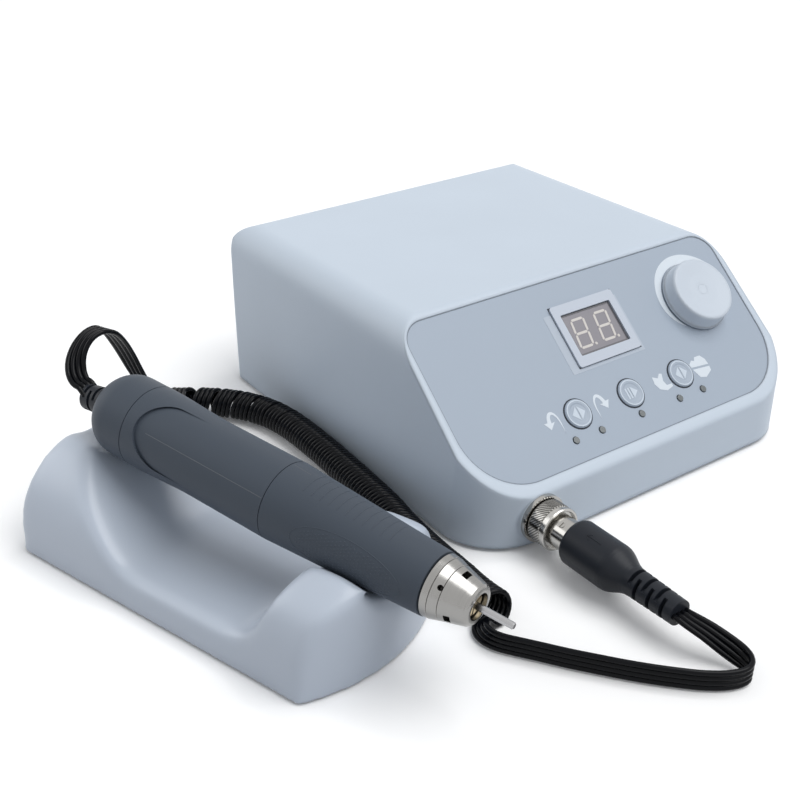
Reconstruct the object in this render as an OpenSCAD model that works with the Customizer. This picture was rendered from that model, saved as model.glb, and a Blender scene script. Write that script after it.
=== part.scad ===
// Dental laboratory micromotor: control unit, motor handpiece on its cradle, and curly cord.
// Millimetres, +Z up, standing on the table at z = 0.

/* [Fits] */
// Clearance between parts that move past each other
move_gap = 0.3; // [0.2:0.05:0.4]
// Radial clearance of shafts, spigots and screws
run_fit = 0.05; // [0.02:0.01:0.08]
// Clearance round parts that are set into openings
set_gap = 0.2; // [0.1:0.05:0.3]

/* [Case of the control unit] */
// Width of the case
case_w = 173; // [160:1:186]
// Depth of the case
case_d = 185; // [170:1:200]
// Height of the case above the table
case_h = 74; // [70:1:80]
// Height of the upright strip below the panel
front_h = 21.5; // [21:0.5:24]
// Slope of the panel
panel_tilt = 41; // [38:1:44]
// Radius of the upright front corners
front_corner_r = 26; // [18:1:30]
// Radius of the upright rear corners
rear_corner_r = 7; // [5:0.5:10]
// Radius along the top of each side
side_edge_r = 13; // [9:0.5:16]
// Radius along the top of the rear wall
rear_edge_r = 9; // [6:0.5:12]
// Radius of the ridge between panel and top
ridge_r = 5; // [3.5:0.5:7]
// Lean of the side walls
side_draft = 2; // [0.5:0.5:3]
// Thickness of the case wall
case_wall = 2.5; // [2:0.1:3]
// Gap between the case rim and the table
rim_gap = 1.5; // [1:0.1:2]

/* [Base] */
// Thickness of the base plate
base_t = 2; // [1.5:0.1:3]
// Height of the base plate above the case rim
base_lift = 1; // [0.6:0.1:2]
// Diameter of a rubber foot
foot_d = 14; // [10:0.5:18]
// Distance of the feet from the sides
foot_inset = 24; // [20:1:32]
// Diameter of a base screw's head
base_head_d = 5.6; // [4.5:0.1:6]
// Diameter of a base screw's shank
base_screw_d = 3; // [2.5:0.1:3.5]
// Length of a base screw's shank
base_screw_len = 12; // [8:0.5:14]
// Diameter of a screw post
post_d = 8; // [7:0.5:10]
// Height of a screw post
post_h = 18; // [15:1:24]

/* [Panel] */
// Distance from the panel overlay to the case sides
overlay_side = 5; // [4.5:0.5:8]
// Distance from the panel's lower edge up to the overlay
overlay_low = 5; // [3:0.5:7]
// Distance from the overlay up to the ridge
overlay_high = 2.4; // [2.2:0.1:4]
// Radius of the overlay's lower corners
overlay_low_r = 25; // [16:1:28]
// Radius of the overlay's upper corners
overlay_high_r = 10; // [6:0.5:14]
// Thickness of the overlay
overlay_t = 0.5; // [0.3:0.1:0.8]
// Depth of the recess for the overlay
recess_d = 0.8; // [0.6:0.1:1]
// Sideways place of the display and buttons
controls_x = 1; // [-3:0.5:4]

/* [Display] */
// Width of the display face
display_w = 26; // [24:0.5:28]
// Height of the display face
display_h = 18; // [16:0.5:19]
// Height of the display's middle up the overlay
display_v = 47.7; // [44:0.1:50]
// Width of the bezel round the display
bezel_w = 33; // [32:0.5:36]
// Height of the bezel round the display
bezel_h = 27; // [25:0.5:29]
// Height of the bezel above the overlay
bezel_t = 1; // [0.6:0.1:1.5]
// Height of a digit
digit_h = 12.6; // [11:0.1:13.5]
// Width of a digit
digit_w = 7.2; // [6:0.1:8]
// Distance between the two digits
digit_pitch = 12.2; // [11.5:0.1:13]
// Lean of the digits
digit_lean = 8; // [0:1:10]
// Width of a digit's segment
segment_w = 1.7; // [1.2:0.1:2]

/* [Buttons and lamps] */
// Distance between buttons
button_pitch = 28; // [24:0.5:30]
// Height of the button row up the overlay
button_v = 18; // [16:0.5:20]
// Diameter of a button
button_d = 11.8; // [10:0.1:12.6]
// Height of a button above the overlay
button_rise = 0.9; // [0.7:0.1:1.5]
// Travel of a button
button_travel = 0.6; // [0.3:0.1:0.6]
// Height of the lamp row up the overlay
lamp_v = 8.8; // [7:0.1:10]
// Distance of a lamp from the middle of its button
lamp_offset = 6.7; // [5:0.1:8]
// Diameter of a lamp
lamp_d = 2.8; // [2:0.1:3.2]

/* [Speed knob] */
// Sideways place of the knob
knob_x = 57; // [54:0.5:62]
// Height of the knob's middle up the overlay
knob_v = 46.5; // [42:0.5:50]
// Diameter of the knob's foot
knob_d = 31; // [28:0.5:34]
// Diameter of the knob's face
knob_face_d = 28.6; // [26:0.2:30]
// Height of the knob above the overlay
knob_h = 7.6; // [7:0.1:10]
// Diameter of the knob's shaft
shaft_d = 6; // [5:0.1:6.4]
// Diameter of the potentiometer's bushing
bushing_d = 7.4; // [7.2:0.1:9]
// Diameter of the potentiometer's can
pot_d = 16.5; // [14:0.5:18]
// Depth of the potentiometer's can
pot_h = 8; // [6:0.5:10]

/* [Boards inside] */
// Distance from the panel wall back to the control board
board_gap = 8; // [7.5:0.1:9]
// Thickness of a circuit board
board_t = 1.6; // [1.2:0.1:2]
// Width of the control board
control_board_w = 90; // [84:1:92]
// Height of the control board
control_board_h = 58; // [56:1:60]
// Diameter of a board screw's shank
board_screw_d = 2; // [1.6:0.1:2.4]
// Width of the driver board
driver_w = 92; // [80:1:96]
// Depth of the driver board
driver_d = 78; // [70:1:84]
// Gap between the rear wall and the driver board
driver_back = 21.5; // [21:0.5:24]
// Height of the driver board's spacers
spacer_h = 6; // [4:0.5:9]
// Width of the heat sink
sink_w = 48; // [40:1:52]
// Depth of the heat sink
sink_d = 16; // [12:1:18]
// Height of the heat sink
sink_h = 26; // [20:1:30]
// Diameter of a smoothing capacitor
capacitor_d = 16; // [12:0.5:18]
// Height of a smoothing capacitor
capacitor_h = 26; // [20:1:32]
// Width of the transformer's core
core_w = 57; // [50:1:60]
// Height of the transformer's core
core_h = 48; // [42:1:52]
// Thickness of the transformer's core
core_t = 22; // [18:1:26]
// Distance of the transformer's middle from the rear wall
core_back = 60.5; // [50:0.5:66]

/* [Motor socket and plug] */
// Distance of the socket from the case's left side
socket_side = 27; // [24.5:0.5:38.5]
// Height of the socket above the table
socket_z = 12; // [11.5:0.1:12.5]
// Diameter of the socket's flange
flange_d = 19; // [17.6:0.2:19.4]
// Diameter of the socket's barrel
barrel_d = 13.2; // [12.4:0.1:13.6]
// Diameter of the coupling ring
ring_d = 17.2; // [16.6:0.1:18.4]
// Length of the coupling ring
ring_len = 8.4; // [8:0.1:10]
// Diameter of the plug's metal shell
shell_d = 12.4; // [11.6:0.1:12.8]
// Diameter of the plug's rubber boot
boot_d = 17.7; // [16.5:0.1:19]
// Distance from the case front to the boot
boot_start = 18.5; // [17:0.5:20]
// Length of the straight part of the boot
boot_straight = 19; // [15:0.5:22]
// Length of the boot's taper
boot_taper = 10.5; // [8:0.5:13]
// Length of the boot's strain relief
relief_len = 20; // [18:0.5:24]
// Diameter where the strain relief starts
relief_big_d = 10.6; // [9.8:0.1:11.4]
// Diameter where the strain relief ends
relief_small_d = 9.4; // [9:0.1:9.8]

/* [Rear wall] */
// Sideways place of the mains inlet
inlet_x = -42; // [-50:1:-36]
// Sideways place of the power switch
switch_x = 0; // [-6:1:8]
// Sideways place of the foot control socket
foot_socket_x = 42; // [34:1:52]
// Height of the fittings on the rear wall
rear_row_z = 30; // [27:1:34]
// Diameter of the foot control plug's bore
foot_bore_d = 6.5; // [6.3:0.1:6.7]
// How far the foot control socket stands out
foot_socket_out = 4.5; // [3.5:0.5:6]

/* [Cradle] */
// Sideways place of the cradle's middle
cradle_x = -163; // [-180:1:-161]
// Place of the cradle's middle behind the case front
cradle_y = 55.6; // [40:0.2:70]
// Turn of the cradle on the table
cradle_yaw = 17.3; // [15:0.1:19]
// Width of the cradle
cradle_w = 72; // [68:1:74]
// Length of the cradle
cradle_l = 148; // [145:1:152]
// Place of the cradle's flat rear end behind its middle
cradle_back = 67.5; // [66:0.5:70]
// Radius of the cradle's curved front end
cradle_end_r = 64; // [60:1:80]
// Radius of the cradle's upright corners
cradle_corner_r = 4.5; // [4:0.5:8]
// Lean of the cradle's sides and rear end for moulding
cradle_draft = 3; // [0.5:0.5:4]
// Radius of the arch across the cradle
arch_r = 31; // [28:0.5:32]
// Height of the arch at the cradle's middle
arch_h = 41.8; // [40:0.1:45]
// Rise of the arch towards the front
arch_tilt = 1.5; // [0.5:0.1:2.5]
// Thickness of the cradle's wall
cradle_wall = 2.6; // [2.2:0.1:2.8]
// Height of the valley between the horns
valley_z = 13; // [10:0.2:16]
// Place of the foot of the valley's rear slope behind the middle
valley_rear = 12; // [6:0.5:16]
// Slope of the valley's rear wall
rear_slope = 38; // [34:0.5:42]
// Radius at the foot of the rear slope
valley_rear_r = 20.5; // [10:0.5:24]
// Place of the foot of the valley's front slope before the middle
valley_front = 47; // [44:0.5:50]
// Slope of the valley's front wall
front_slope = 70; // [62:1:76]
// Radius at the foot of the front slope
valley_front_r = 14.5; // [6:0.5:18]
// Thickness of the cradle's non-slip pad
pad_t = 1.2; // [0.8:0.1:2]

/* [Handpiece body] */
// Distance of the rear joint behind the cradle's middle
hand_back = 28; // [25:0.5:30]
// Height of the handpiece's axis at the rear joint
hand_z = 49.4; // [48.6:0.1:51]
// Nose-down tilt of the handpiece
hand_tilt = 5.4; // [5:0.1:6]
// Diameter at the rear joint
rear_d = 30.4; // [30:0.1:31]
// Diameter of the motor body
motor_d = 28.2; // [27.8:0.1:29]
// Diameter at the front of the grip
grip_front_d = 21.6; // [21.4:0.1:22.4]
// Length of the rear cap
cap_len = 21.5; // [20:0.5:23]
// Rounding of the rear cap
cap_round = 11.5; // [8:0.5:13]
// Length of the motor body
motor_len = 63.5; // [62:0.5:66]
// Length of the front grip
grip_len = 61; // [59:0.5:63]
// Length of the rear collar's taper
collar_len = 30; // [24:1:36]
// Wall thickness of the rear cap
cap_wall = 1.8; // [1.4:0.1:2.2]
// Diameter of the cord's strain relief
bush_d = 10.4; // [9.6:0.1:11]
// Length of the cord's strain relief behind the cap
bush_len = 13.5; // [11:0.5:15]
// Bend of the cord's strain relief
bush_bend = 10; // [0:1:14]

/* [Nose and chuck] */
// Length of the steel nose
nose_len = 15; // [14:0.5:17]
// Diameter of the nose at the grip
nose_d = 21; // [20.6:0.1:21.4]
// Diameter of the nose where its cone ends
nose_cone_d = 15; // [14.4:0.1:16]
// Diameter of the nose's front face
nose_face_d = 11; // [10.4:0.1:12]
// Diameter of the nose's mouth
mouth_d = 9.2; // [8.8:0.1:9.6]
// Diameter of the tool shank
shank_d = 2.35; // [2.3:0.05:2.4]
// Length of shank outside the nose
shank_out = 12.5; // [10:0.5:16]
// Length of shank inside the nose
shank_in = 26; // [20:1:30]
// Diameter of the collet's stem
collet_d = 5.6; // [5:0.1:6]
// Diameter of the collet's head
collet_head_d = 7.6; // [7.2:0.1:8]
// Diameter of the spindle
spindle_d = 9; // [8.6:0.1:9.4]
// Outer diameter of a bearing
bearing_d = 16; // [15:0.2:16.4]
// Width of a bearing
bearing_w = 5; // [4:0.2:6]
// Wall thickness of the spindle housing
housing_wall = 1.3; // [1:0.1:1.4]

/* [Motor] */
// Inner diameter of the motor body
motor_bore_d = 24.6; // [24:0.1:25]
// Diameter of the rotor shaft
rotor_shaft_d = 6; // [5:0.1:6.6]
// Diameter of the rotor
rotor_d = 19.4; // [18:0.1:20]
// Length of the rotor
rotor_len = 30; // [26:0.5:32]
// Thickness of the magnets
magnet_t = 1.9; // [1.5:0.1:2]
// Diameter of the commutator
commutator_d = 11; // [9:0.1:12]
// Length of the commutator
commutator_len = 8; // [7:0.5:9]

/* [Cord] */
// Width of the flat four-core cord
cord_w = 7.8; // [7.2:0.1:7.9]
// Thickness of the flat cord
cord_t = 2; // [1.6:0.1:2.2]
// Outer diameter of the curls
curl_d = 12.8; // [11:0.1:13]
// Number of curls
curls = 22; // [16:1:22]

/* [Hidden] */
$fn = 64;

// Colours
case_colour = [0.73, 0.78, 0.84];
panel_colour = [0.62, 0.68, 0.74];
steel_colour = [0.78, 0.78, 0.77];
grip_colour = [0.27, 0.29, 0.33];
rubber_colour = [0.10, 0.10, 0.11];
board_colour = [0.10, 0.35, 0.20];
brass_colour = [0.72, 0.60, 0.36];

// Handpiece stations along its axis, from the rear joint towards the nose
grip_start = motor_len + move_gap;
grip_end = motor_len + grip_len;
nose_start = grip_end + move_gap;
nose_end = nose_start + nose_len;
shank_end = nose_end + shank_out;

// Unit vector of the handpiece's axis and the place of its rear joint
axis_x = sin(cradle_yaw) * cos(hand_tilt);
axis_y = -cos(cradle_yaw) * cos(hand_tilt);
axis_z = -sin(hand_tilt);
joint_x = cradle_x - sin(cradle_yaw) * hand_back;
joint_y = cradle_y + cos(cradle_yaw) * hand_back;

// Middle of the whole object's footprint, cord and plug apart
corner_reach_x = (cradle_w / 2 - cradle_corner_r) * cos(cradle_yaw);
corner_reach_y = (cradle_back - cradle_corner_r) * sin(cradle_yaw);
left_x = cradle_x - corner_reach_x - corner_reach_y - cradle_corner_r;
front_y = joint_y + axis_y * shank_end - shank_d / 2 * sqrt(1 - axis_y * axis_y);
middle_x = (left_x + case_w / 2) / 2;
middle_y = (front_y + case_d + foot_socket_out) / 2;

// Panel geometry
slope_len = (case_h - front_h) / sin(panel_tilt);
overlay_w = case_w - 2 * overlay_side;
overlay_h = slope_len - overlay_low - overlay_high;
overlay_top = overlay_t - recess_d;
board_front = -case_wall - board_gap;
board_v = overlay_low + control_board_h / 2;

// Sideways place of the motor socket
socket_x = socket_side - case_w / 2;

// Base geometry
base_z = rim_gap + base_lift;
floor_z = base_z + base_t;
post_x = case_w / 2 - case_wall - post_d;
post_front_y = front_corner_r + 8;
post_rear_y = case_d - case_wall - post_d - 2;
posts = [for (x = [-post_x, post_x], y = [post_front_y, post_rear_y]) [x, y]];

module in_frame() {
    translate([-middle_x, -middle_y, 0]) children();
}

module on_panel(x, v, n) {
    in_frame() translate([0, 0, front_h]) rotate([panel_tilt, 0, 0])
        translate([x, overlay_low + v, n]) children();
}

module on_socket() {
    in_frame() translate([socket_x, 0, socket_z]) rotate([90, 0, 0]) children();
}

module on_rear(x) {
    in_frame() translate([x, case_d, rear_row_z]) rotate([90, 0, 180]) children();
}

module on_cradle() {
    in_frame() translate([cradle_x, cradle_y, 0]) rotate([0, 0, cradle_yaw]) children();
}

module on_handpiece() {
    in_frame() translate([joint_x, joint_y, hand_z]) rotate([90 + hand_tilt, 0, cradle_yaw]) children();
}

// Outlines with rounded corners: points run anticlockwise, one radius each
function unit(v) = v / norm(v);
function before(list, k) = list[(k + len(list) - 1) % len(list)];
function after(list, k) = list[(k + 1) % len(list)];
function half_angle(a, p, b) = acos(unit(a - p) * unit(b - p)) / 2;

module rounded_outline(points, radii) {
    polygon([for (k = [0 : len(points) - 1])
        let (p = points[k], to_a = unit(before(points, k) - p), to_b = unit(after(points, k) - p),
             reach = radii[k] / tan(half_angle(p + to_a, p, p + to_b)))
        each (radii[k] > 0 ? [p + to_a * reach, p + to_b * reach] : [p])]);
    for (k = [0 : len(points) - 1]) if (radii[k] > 0) {
        p = points[k];
        to_a = unit(before(points, k) - p);
        to_b = unit(after(points, k) - p);
        depth = radii[k] / sin(half_angle(p + to_a, p, p + to_b));
        translate(p + unit(to_a + to_b) * depth) circle(radii[k]);
    }
}

module rounded_block(w, h, t, r) {
    linear_extrude(t) rounded_outline([[-w / 2, -h / 2], [w / 2, -h / 2], [w / 2, h / 2], [-w / 2, h / 2]],
        [r, r, r, r]);
}

module tube(outer_r, inner_r, length) {
    difference() {
        cylinder(r = outer_r, h = length);
        translate([0, 0, -1]) cylinder(r = inner_r, h = length + 2);
    }
}

// Case

module case_plan(inset) {
    x = case_w / 2 - inset;
    front_r = front_corner_r - inset;
    rear_r = rear_corner_r - inset;
    rounded_outline([[-x, inset], [x, inset], [x, case_d - inset], [-x, case_d - inset]],
        [front_r, front_r, rear_r, rear_r]);
}

module case_side(inset, low) {
    top = case_h - inset;
    ridge_y = inset * sin(panel_tilt) + (top - front_h + inset * cos(panel_tilt)) / tan(panel_tilt);
    brow_z = front_h - inset * cos(panel_tilt) + inset * (1 - sin(panel_tilt)) * tan(panel_tilt);
    back = case_d - inset;
    rounded_outline([[inset, low], [back, low], [back, top], [ridge_y, top], [inset, brow_z]],
        [0, 0, rear_edge_r - inset, ridge_r - inset, 2]);
}

module case_front(inset, low) {
    x = case_w / 2 - inset;
    lean = tan(side_draft) * (case_h - rim_gap);
    r = side_edge_r - inset;
    top = case_h - inset;
    rounded_outline([[-x, low], [x, low], [x - lean, top], [-x + lean, top]], [0, 0, r, r]);
}

module case_form(inset, low) {
    intersection() {
        translate([0, 0, low]) linear_extrude(case_h) case_plan(inset);
        translate([-case_w, 0, 0]) rotate([90, 0, 90]) linear_extrude(2 * case_w) case_side(inset, low - 1);
        translate([0, 2 * case_d, 0]) rotate([90, 0, 0])
            linear_extrude(3 * case_d) case_front(inset, low - 2);
    }
}

module screw_posts() {
    for (p = posts) {
        translate([p.x, p.y, floor_z]) cylinder(d = post_d, h = post_h);
        rib_len = post_d + case_wall / 2;
        translate([p.x > 0 ? p.x : p.x - rib_len, p.y - 1, floor_z]) cube([rib_len, 2, post_h]);
    }
}

board_posts = [for (x = [-1, 1], v = [4, control_board_h - 4])
    [controls_x + x * (control_board_w / 2 - 4), v]];

module overlay_outline(grow) {
    x = overlay_w / 2 + grow;
    rounded_outline([[-x, -grow], [x, -grow], [x, overlay_h + grow], [-x, overlay_h + grow]],
        [overlay_low_r, overlay_low_r, overlay_high_r, overlay_high_r]);
}

lamp_places = [-button_pitch - lamp_offset, -button_pitch + lamp_offset, 0,
    button_pitch - lamp_offset, button_pitch + lamp_offset];

// Openings through the panel for the display, buttons, lamps and knob
module panel_openings(bottom, height) {
    opening_w = display_w + 2 * set_gap;
    opening_h = display_h + 2 * set_gap;
    on_panel(controls_x - opening_w / 2, display_v - opening_h / 2, bottom)
        cube([opening_w, opening_h, height]);
    for (k = [-1 : 1])
        on_panel(controls_x + k * button_pitch, button_v, bottom)
            cylinder(d = button_d + 2 * move_gap, h = height);
    for (x = lamp_places)
        on_panel(controls_x + x, lamp_v, bottom) cylinder(d = lamp_d + 2 * set_gap, h = height);
    on_panel(knob_x, knob_v, bottom) cylinder(d = bushing_d + 2 * run_fit, h = height);
}

module upper_case() color(case_colour) difference() {
    union() {
        in_frame() difference() {
            case_form(0, rim_gap);
            case_form(case_wall, rim_gap - 3);
        }
        in_frame() screw_posts();
        on_socket() translate([0, 0, -case_wall - pad_in])
            cylinder(d = flange_d + 0.8, h = case_wall + pad_in);
        for (p = board_posts) on_panel(p.x, p.y, board_front) cylinder(d = 6, h = board_gap + case_wall / 2);
    }
    on_panel(0, 0, -recess_d) linear_extrude(recess_d + 3) overlay_outline(set_gap);
    panel_openings(-case_wall - 1, case_wall + 2);
    for (p = board_posts) on_panel(p.x, p.y, board_front - 1)
        cylinder(d = board_screw_d + 2 * run_fit, h = board_gap - 1);
    in_frame() for (p = posts) translate([p.x, p.y, 0])
        cylinder(d = base_screw_d + 2 * run_fit, h = base_z + base_screw_len + 1);
    on_socket() translate([0, 0, -case_wall - pad_in - 1])
        cylinder(d = barrel_d + 2 * run_fit, h = case_wall + pad_in + 2);
    on_rear(inlet_x) translate([0, 0, -case_wall - 1]) linear_extrude(case_wall + 2) inlet_outline(set_gap);
    on_rear(switch_x) translate([0, 0, -case_wall - 1])
        rounded_block(switch_body_w + 2 * set_gap, switch_body_h + 2 * set_gap, case_wall + 2, 1);
    on_rear(foot_socket_x) translate([0, 0, -case_wall - 1])
        cylinder(d = foot_barrel_d + 2 * run_fit, h = case_wall + 2);
}

// Base

base_inset = ceil(10 * (case_wall + set_gap + (floor_z + 3) * tan(side_draft))) / 10;

module base_plate() color([0.55, 0.57, 0.60]) in_frame() difference() {
    translate([0, 0, base_z]) linear_extrude(base_t) case_plan(base_inset);
    for (p = posts) translate([p.x, p.y, base_z - 1])
        cylinder(d = base_screw_d + 2 * run_fit, h = base_t + 2);
    for (k = [0 : 7], side = [-1, 1]) translate([side * 26 - 15, 40 + 5 * k, base_z - 1])
        cube([30, 2.2, base_t + 2]);
    notch_w = flange_d + 2;
    translate([socket_x - notch_w / 2, -1, base_z - 1]) cube([notch_w, case_wall + pad_in + 5, base_t + 2]);
}

module rubber_feet() color(rubber_colour) in_frame() {
    for (x = [-1, 1], y = [foot_inset + 4, case_d - foot_inset])
        translate([x * (case_w / 2 - foot_inset), y, 0]) rotate_extrude()
            polygon([[0, 0], [foot_d / 2 - 1, 0], [foot_d / 2, base_z], [0, base_z]]);
}

module base_screws() color(steel_colour) in_frame() {
    head_h = base_z - 0.8;
    for (p = posts) translate([p.x, p.y, base_z]) {
        difference() {
            translate([0, 0, -head_h]) cylinder(d = base_head_d, h = head_h);
            for (turn = [0, 90]) translate([0, 0, -head_h]) rotate(turn) cube([3, 0.8, 1.6], center = true);
        }
        cylinder(d = base_screw_d, h = base_screw_len);
    }
}

// Panel pieces

module front_overlay() color(panel_colour) difference() {
    on_panel(0, 0, -recess_d) linear_extrude(overlay_t) overlay_outline(0);
    panel_openings(-recess_d - 1, overlay_t + 2);
}

module display_bezel() color([0.80, 0.83, 0.86]) on_panel(controls_x, display_v, overlay_top) difference() {
    rounded_block(bezel_w, bezel_h, bezel_t, 1.2);
    translate([0, 0, -1]) rounded_block(display_w + 2 * set_gap, display_h + 2 * set_gap, bezel_t + 2, 0.5);
}

module display_module() color([0.30, 0.28, 0.27])
    on_panel(controls_x - display_w / 2, display_v - display_h / 2, board_front)
        cube([display_w, display_h, overlay_top - board_front]);

// One segment: a bar with pointed ends, leaning with its digit
function leaning(p) = [p.x + p.y * tan(digit_lean), p.y];
module segment(centre, across, length) {
    h = segment_w / 2;
    l = length / 2 - 0.25;
    bar = [[-l, 0], [-l + h, -h], [l - h, -h], [l, 0], [l - h, h], [-l + h, h]];
    polygon([for (p = bar) leaning(centre + (across ? p : [-p.y, p.x]))]);
}

module digit() {
    w = digit_w - segment_w;
    h = digit_h - segment_w;
    for (y = [-h / 2, 0, h / 2]) segment([0, y], true, w);
    for (x = [-w / 2, w / 2], y = [-h / 4, h / 4]) segment([x, y], false, h / 2);
    translate(leaning([digit_w / 2 + 1.1, -h / 2])) circle(segment_w / 2);
}

module display_segments() color([0.90, 0.86, 0.78])
    for (k = [-1, 1]) on_panel(controls_x + k * digit_pitch / 2 - 0.6, display_v, overlay_top)
        linear_extrude(0.2) digit();

module indicator_lamps() color([0.25, 0.24, 0.26])
    for (x = lamp_places) on_panel(controls_x + x, lamp_v, board_front) {
        cylinder(d = lamp_d, h = overlay_top - board_front);
        translate([0, 0, overlay_top - board_front]) intersection() {
            sphere(d = lamp_d);
            translate([0, 0, -lamp_d]) cylinder(d = 2 * lamp_d, h = lamp_d + 0.5);
        }
        cylinder(d = lamp_d + 0.8, h = board_gap - 2);
    }

module control_board() color(board_colour) difference() {
    on_panel(controls_x, control_board_h / 2, board_front - board_t)
        rounded_block(control_board_w, control_board_h, board_t, 1);
    for (p = board_posts) on_panel(p.x, p.y, board_front - board_t - 1)
        cylinder(d = board_screw_d + 2 * run_fit, h = board_t + 2);
}

module board_screws() color(steel_colour) for (p = board_posts) on_panel(p.x, p.y, board_front - board_t) {
    cylinder(d = board_screw_d, h = board_t + board_gap - 2.5);
    translate([0, 0, -1.4]) cylinder(d = 2 * board_screw_d, h = 1.4);
}

tact_top = board_front + 4.6;
module tact_switches() color([0.16, 0.16, 0.17])
    for (k = [-1 : 1]) on_panel(controls_x + k * button_pitch, button_v, board_front) {
        translate([-3, -3, 0]) cube([6, 6, 3.4]);
        cylinder(d = 3.4, h = tact_top - board_front);
    }

// A button: crowned cap, retaining flange behind the panel, and a stem to its switch
module push_button(k) color([0.70, 0.75, 0.80]) on_panel(controls_x + k * button_pitch, button_v, 0) {
    flange_top = -case_wall - 0.1;
    cap_top = overlay_top + button_rise;
    stem_end = tact_top + button_travel + 0.1;
    r = button_d / 2;
    rotate_extrude() polygon([[0, stem_end], [1.6, stem_end], [1.6, flange_top - 1],
        [r + 1.2, flange_top - 1], [r + 1.2, flange_top], [r, flange_top], [r, cap_top - 0.4],
        [r - 0.4, cap_top], [r - 1.6, cap_top], [r - 2.2, cap_top - 0.2], [0, cap_top - 0.3]]);
}

module direction_button() push_button(-1);

module standby_button() push_button(0);

module mode_button() push_button(1);

// Speed control

nut_top = overlay_top + 2;
bushing_top = nut_top + 0.6;
knob_low = overlay_top + 0.6;
knob_top = overlay_top + knob_h;

module speed_pot() color([0.45, 0.46, 0.48]) on_panel(knob_x, knob_v, 0) difference() {
    union() {
        translate([0, 0, -case_wall - pot_h]) cylinder(d = pot_d, h = pot_h);
        translate([0, 0, -case_wall - 1]) cylinder(d = bushing_d, h = bushing_top + case_wall + 1);
    }
    translate([0, 0, -case_wall - pot_h + 1])
        cylinder(d = shaft_d + 2 * run_fit, h = pot_h + case_wall + knob_h);
}

module pot_nut() color(steel_colour) on_panel(knob_x, knob_v, overlay_top) difference() {
    cylinder(d = bushing_d + 5, h = nut_top - overlay_top, $fn = 6);
    translate([0, 0, -1]) cylinder(d = bushing_d + 2 * run_fit, h = nut_top - overlay_top + 2);
}

shaft_low = -case_wall - pot_h + 1.1;
module pot_shaft() color(steel_colour) on_panel(knob_x, knob_v, shaft_low)
    cylinder(d = shaft_d, h = knob_top - 1.6 - shaft_low);

module speed_knob() color([0.84, 0.87, 0.90]) on_panel(knob_x, knob_v, 0) difference() {
    r = knob_d / 2;
    face_r = knob_face_d / 2;
    rotate_extrude() polygon([[0, knob_low], [r, knob_low], [r, knob_low + 0.8], [r - 0.6, knob_low + 1],
        [face_r, knob_top - 0.8], [face_r - 0.3, knob_top - 0.2], [face_r - 0.9, knob_top],
        [face_r - 1.8, knob_top - 0.1], [face_r / 2, knob_top - 0.5], [0, knob_top - 0.6]]);
    translate([0, 0, knob_low - 1]) cylinder(d = bushing_d + 8, h = bushing_top + 0.4 - knob_low + 1);
    translate([0, 0, knob_low]) cylinder(d = shaft_d + 2 * run_fit, h = knob_top - 1.5 - knob_low);
}

// Power pieces inside the case

driver_x = 32;
driver_y = case_d - case_wall - driver_back - driver_d / 2;
driver_z = floor_z + spacer_h;
spacer_places = [for (x = [-1, 1], y = [-1, 1])
    [driver_x + x * (driver_w / 2 - 5), driver_y + y * (driver_d / 2 - 5)]];

module driver_board() color(board_colour) in_frame() difference() {
    translate([driver_x, driver_y, driver_z]) rounded_block(driver_w, driver_d, board_t, 1);
    for (p = spacer_places) translate([p.x, p.y, driver_z - 1]) cylinder(d = 3.2, h = board_t + 2);
}

module board_spacers() color(brass_colour) in_frame() for (p = spacer_places) translate([p.x, p.y, floor_z]) {
    cylinder(d = 6, h = spacer_h, $fn = 6);
    cylinder(d = 3, h = spacer_h + board_t + 1.2);
}

module heat_sink() color(steel_colour) in_frame()
    translate([driver_x - sink_w / 2, driver_y + driver_d / 2 - 10 - sink_d, driver_z + board_t]) {
        fin_t = 1.8;
        cube([sink_w, sink_d, 3]);
        for (k = [0 : 6]) translate([(sink_w - fin_t) * k / 6, 0, 2]) cube([fin_t, sink_d, sink_h - 2]);
    }

module smoothing_capacitors() color([0.15, 0.20, 0.32]) in_frame()
    for (k = [-1, 1]) translate([driver_x + k * (capacitor_d / 2 + 2), driver_y - 12, driver_z + board_t]) {
        r = capacitor_d / 2;
        rotate_extrude() polygon([[0, 0], [r, 0], [r, 2], [r - 0.6, 2.8], [r, 3.6], [r, capacitor_h - 0.6],
            [r - 0.6, capacitor_h], [0, capacitor_h]]);
    }

core_x = -48;
core_y = case_d - case_wall - core_back;
leg_w = core_w / 3;
window_w = core_w / 6;
window_h = core_h - 2 * window_w;

module transformer_core() color([0.36, 0.37, 0.39])
in_frame() translate([core_x, core_y, floor_z]) difference() {
    translate([-core_w / 2, -core_t / 2, 0]) cube([core_w, core_t, core_h]);
    for (side = [-1, 1]) translate([side * (leg_w + window_w) / 2 - window_w / 2, -core_t, window_w])
        cube([window_w, 2 * core_t, window_h]);
}

module transformer_winding() color([0.70, 0.62, 0.40])
    in_frame() translate([core_x, core_y, floor_z + window_w + set_gap]) difference() {
        bulge = window_w - set_gap;
        rounded_block(leg_w + 2 * bulge, core_t + 2 * bulge, window_h - 2 * set_gap, 3);
        translate([-leg_w / 2 - set_gap, -core_t / 2 - set_gap, -1])
            cube([leg_w + 2 * set_gap, core_t + 2 * set_gap, window_h + 2]);
    }

// Motor socket in the front, and the plug on the cord

socket_flange_t = 1.8;
pad_in = 2.4;
socket_out = 6.5;
socket_in = case_wall + pad_in + 6;
cavity_r = barrel_d / 2 + move_gap;
ring_start = socket_flange_t + 0.5;
ring_end = ring_start + ring_len;
lip_start = ring_end - 2;
barrel_bore_r = barrel_d / 2 - 1;

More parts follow.
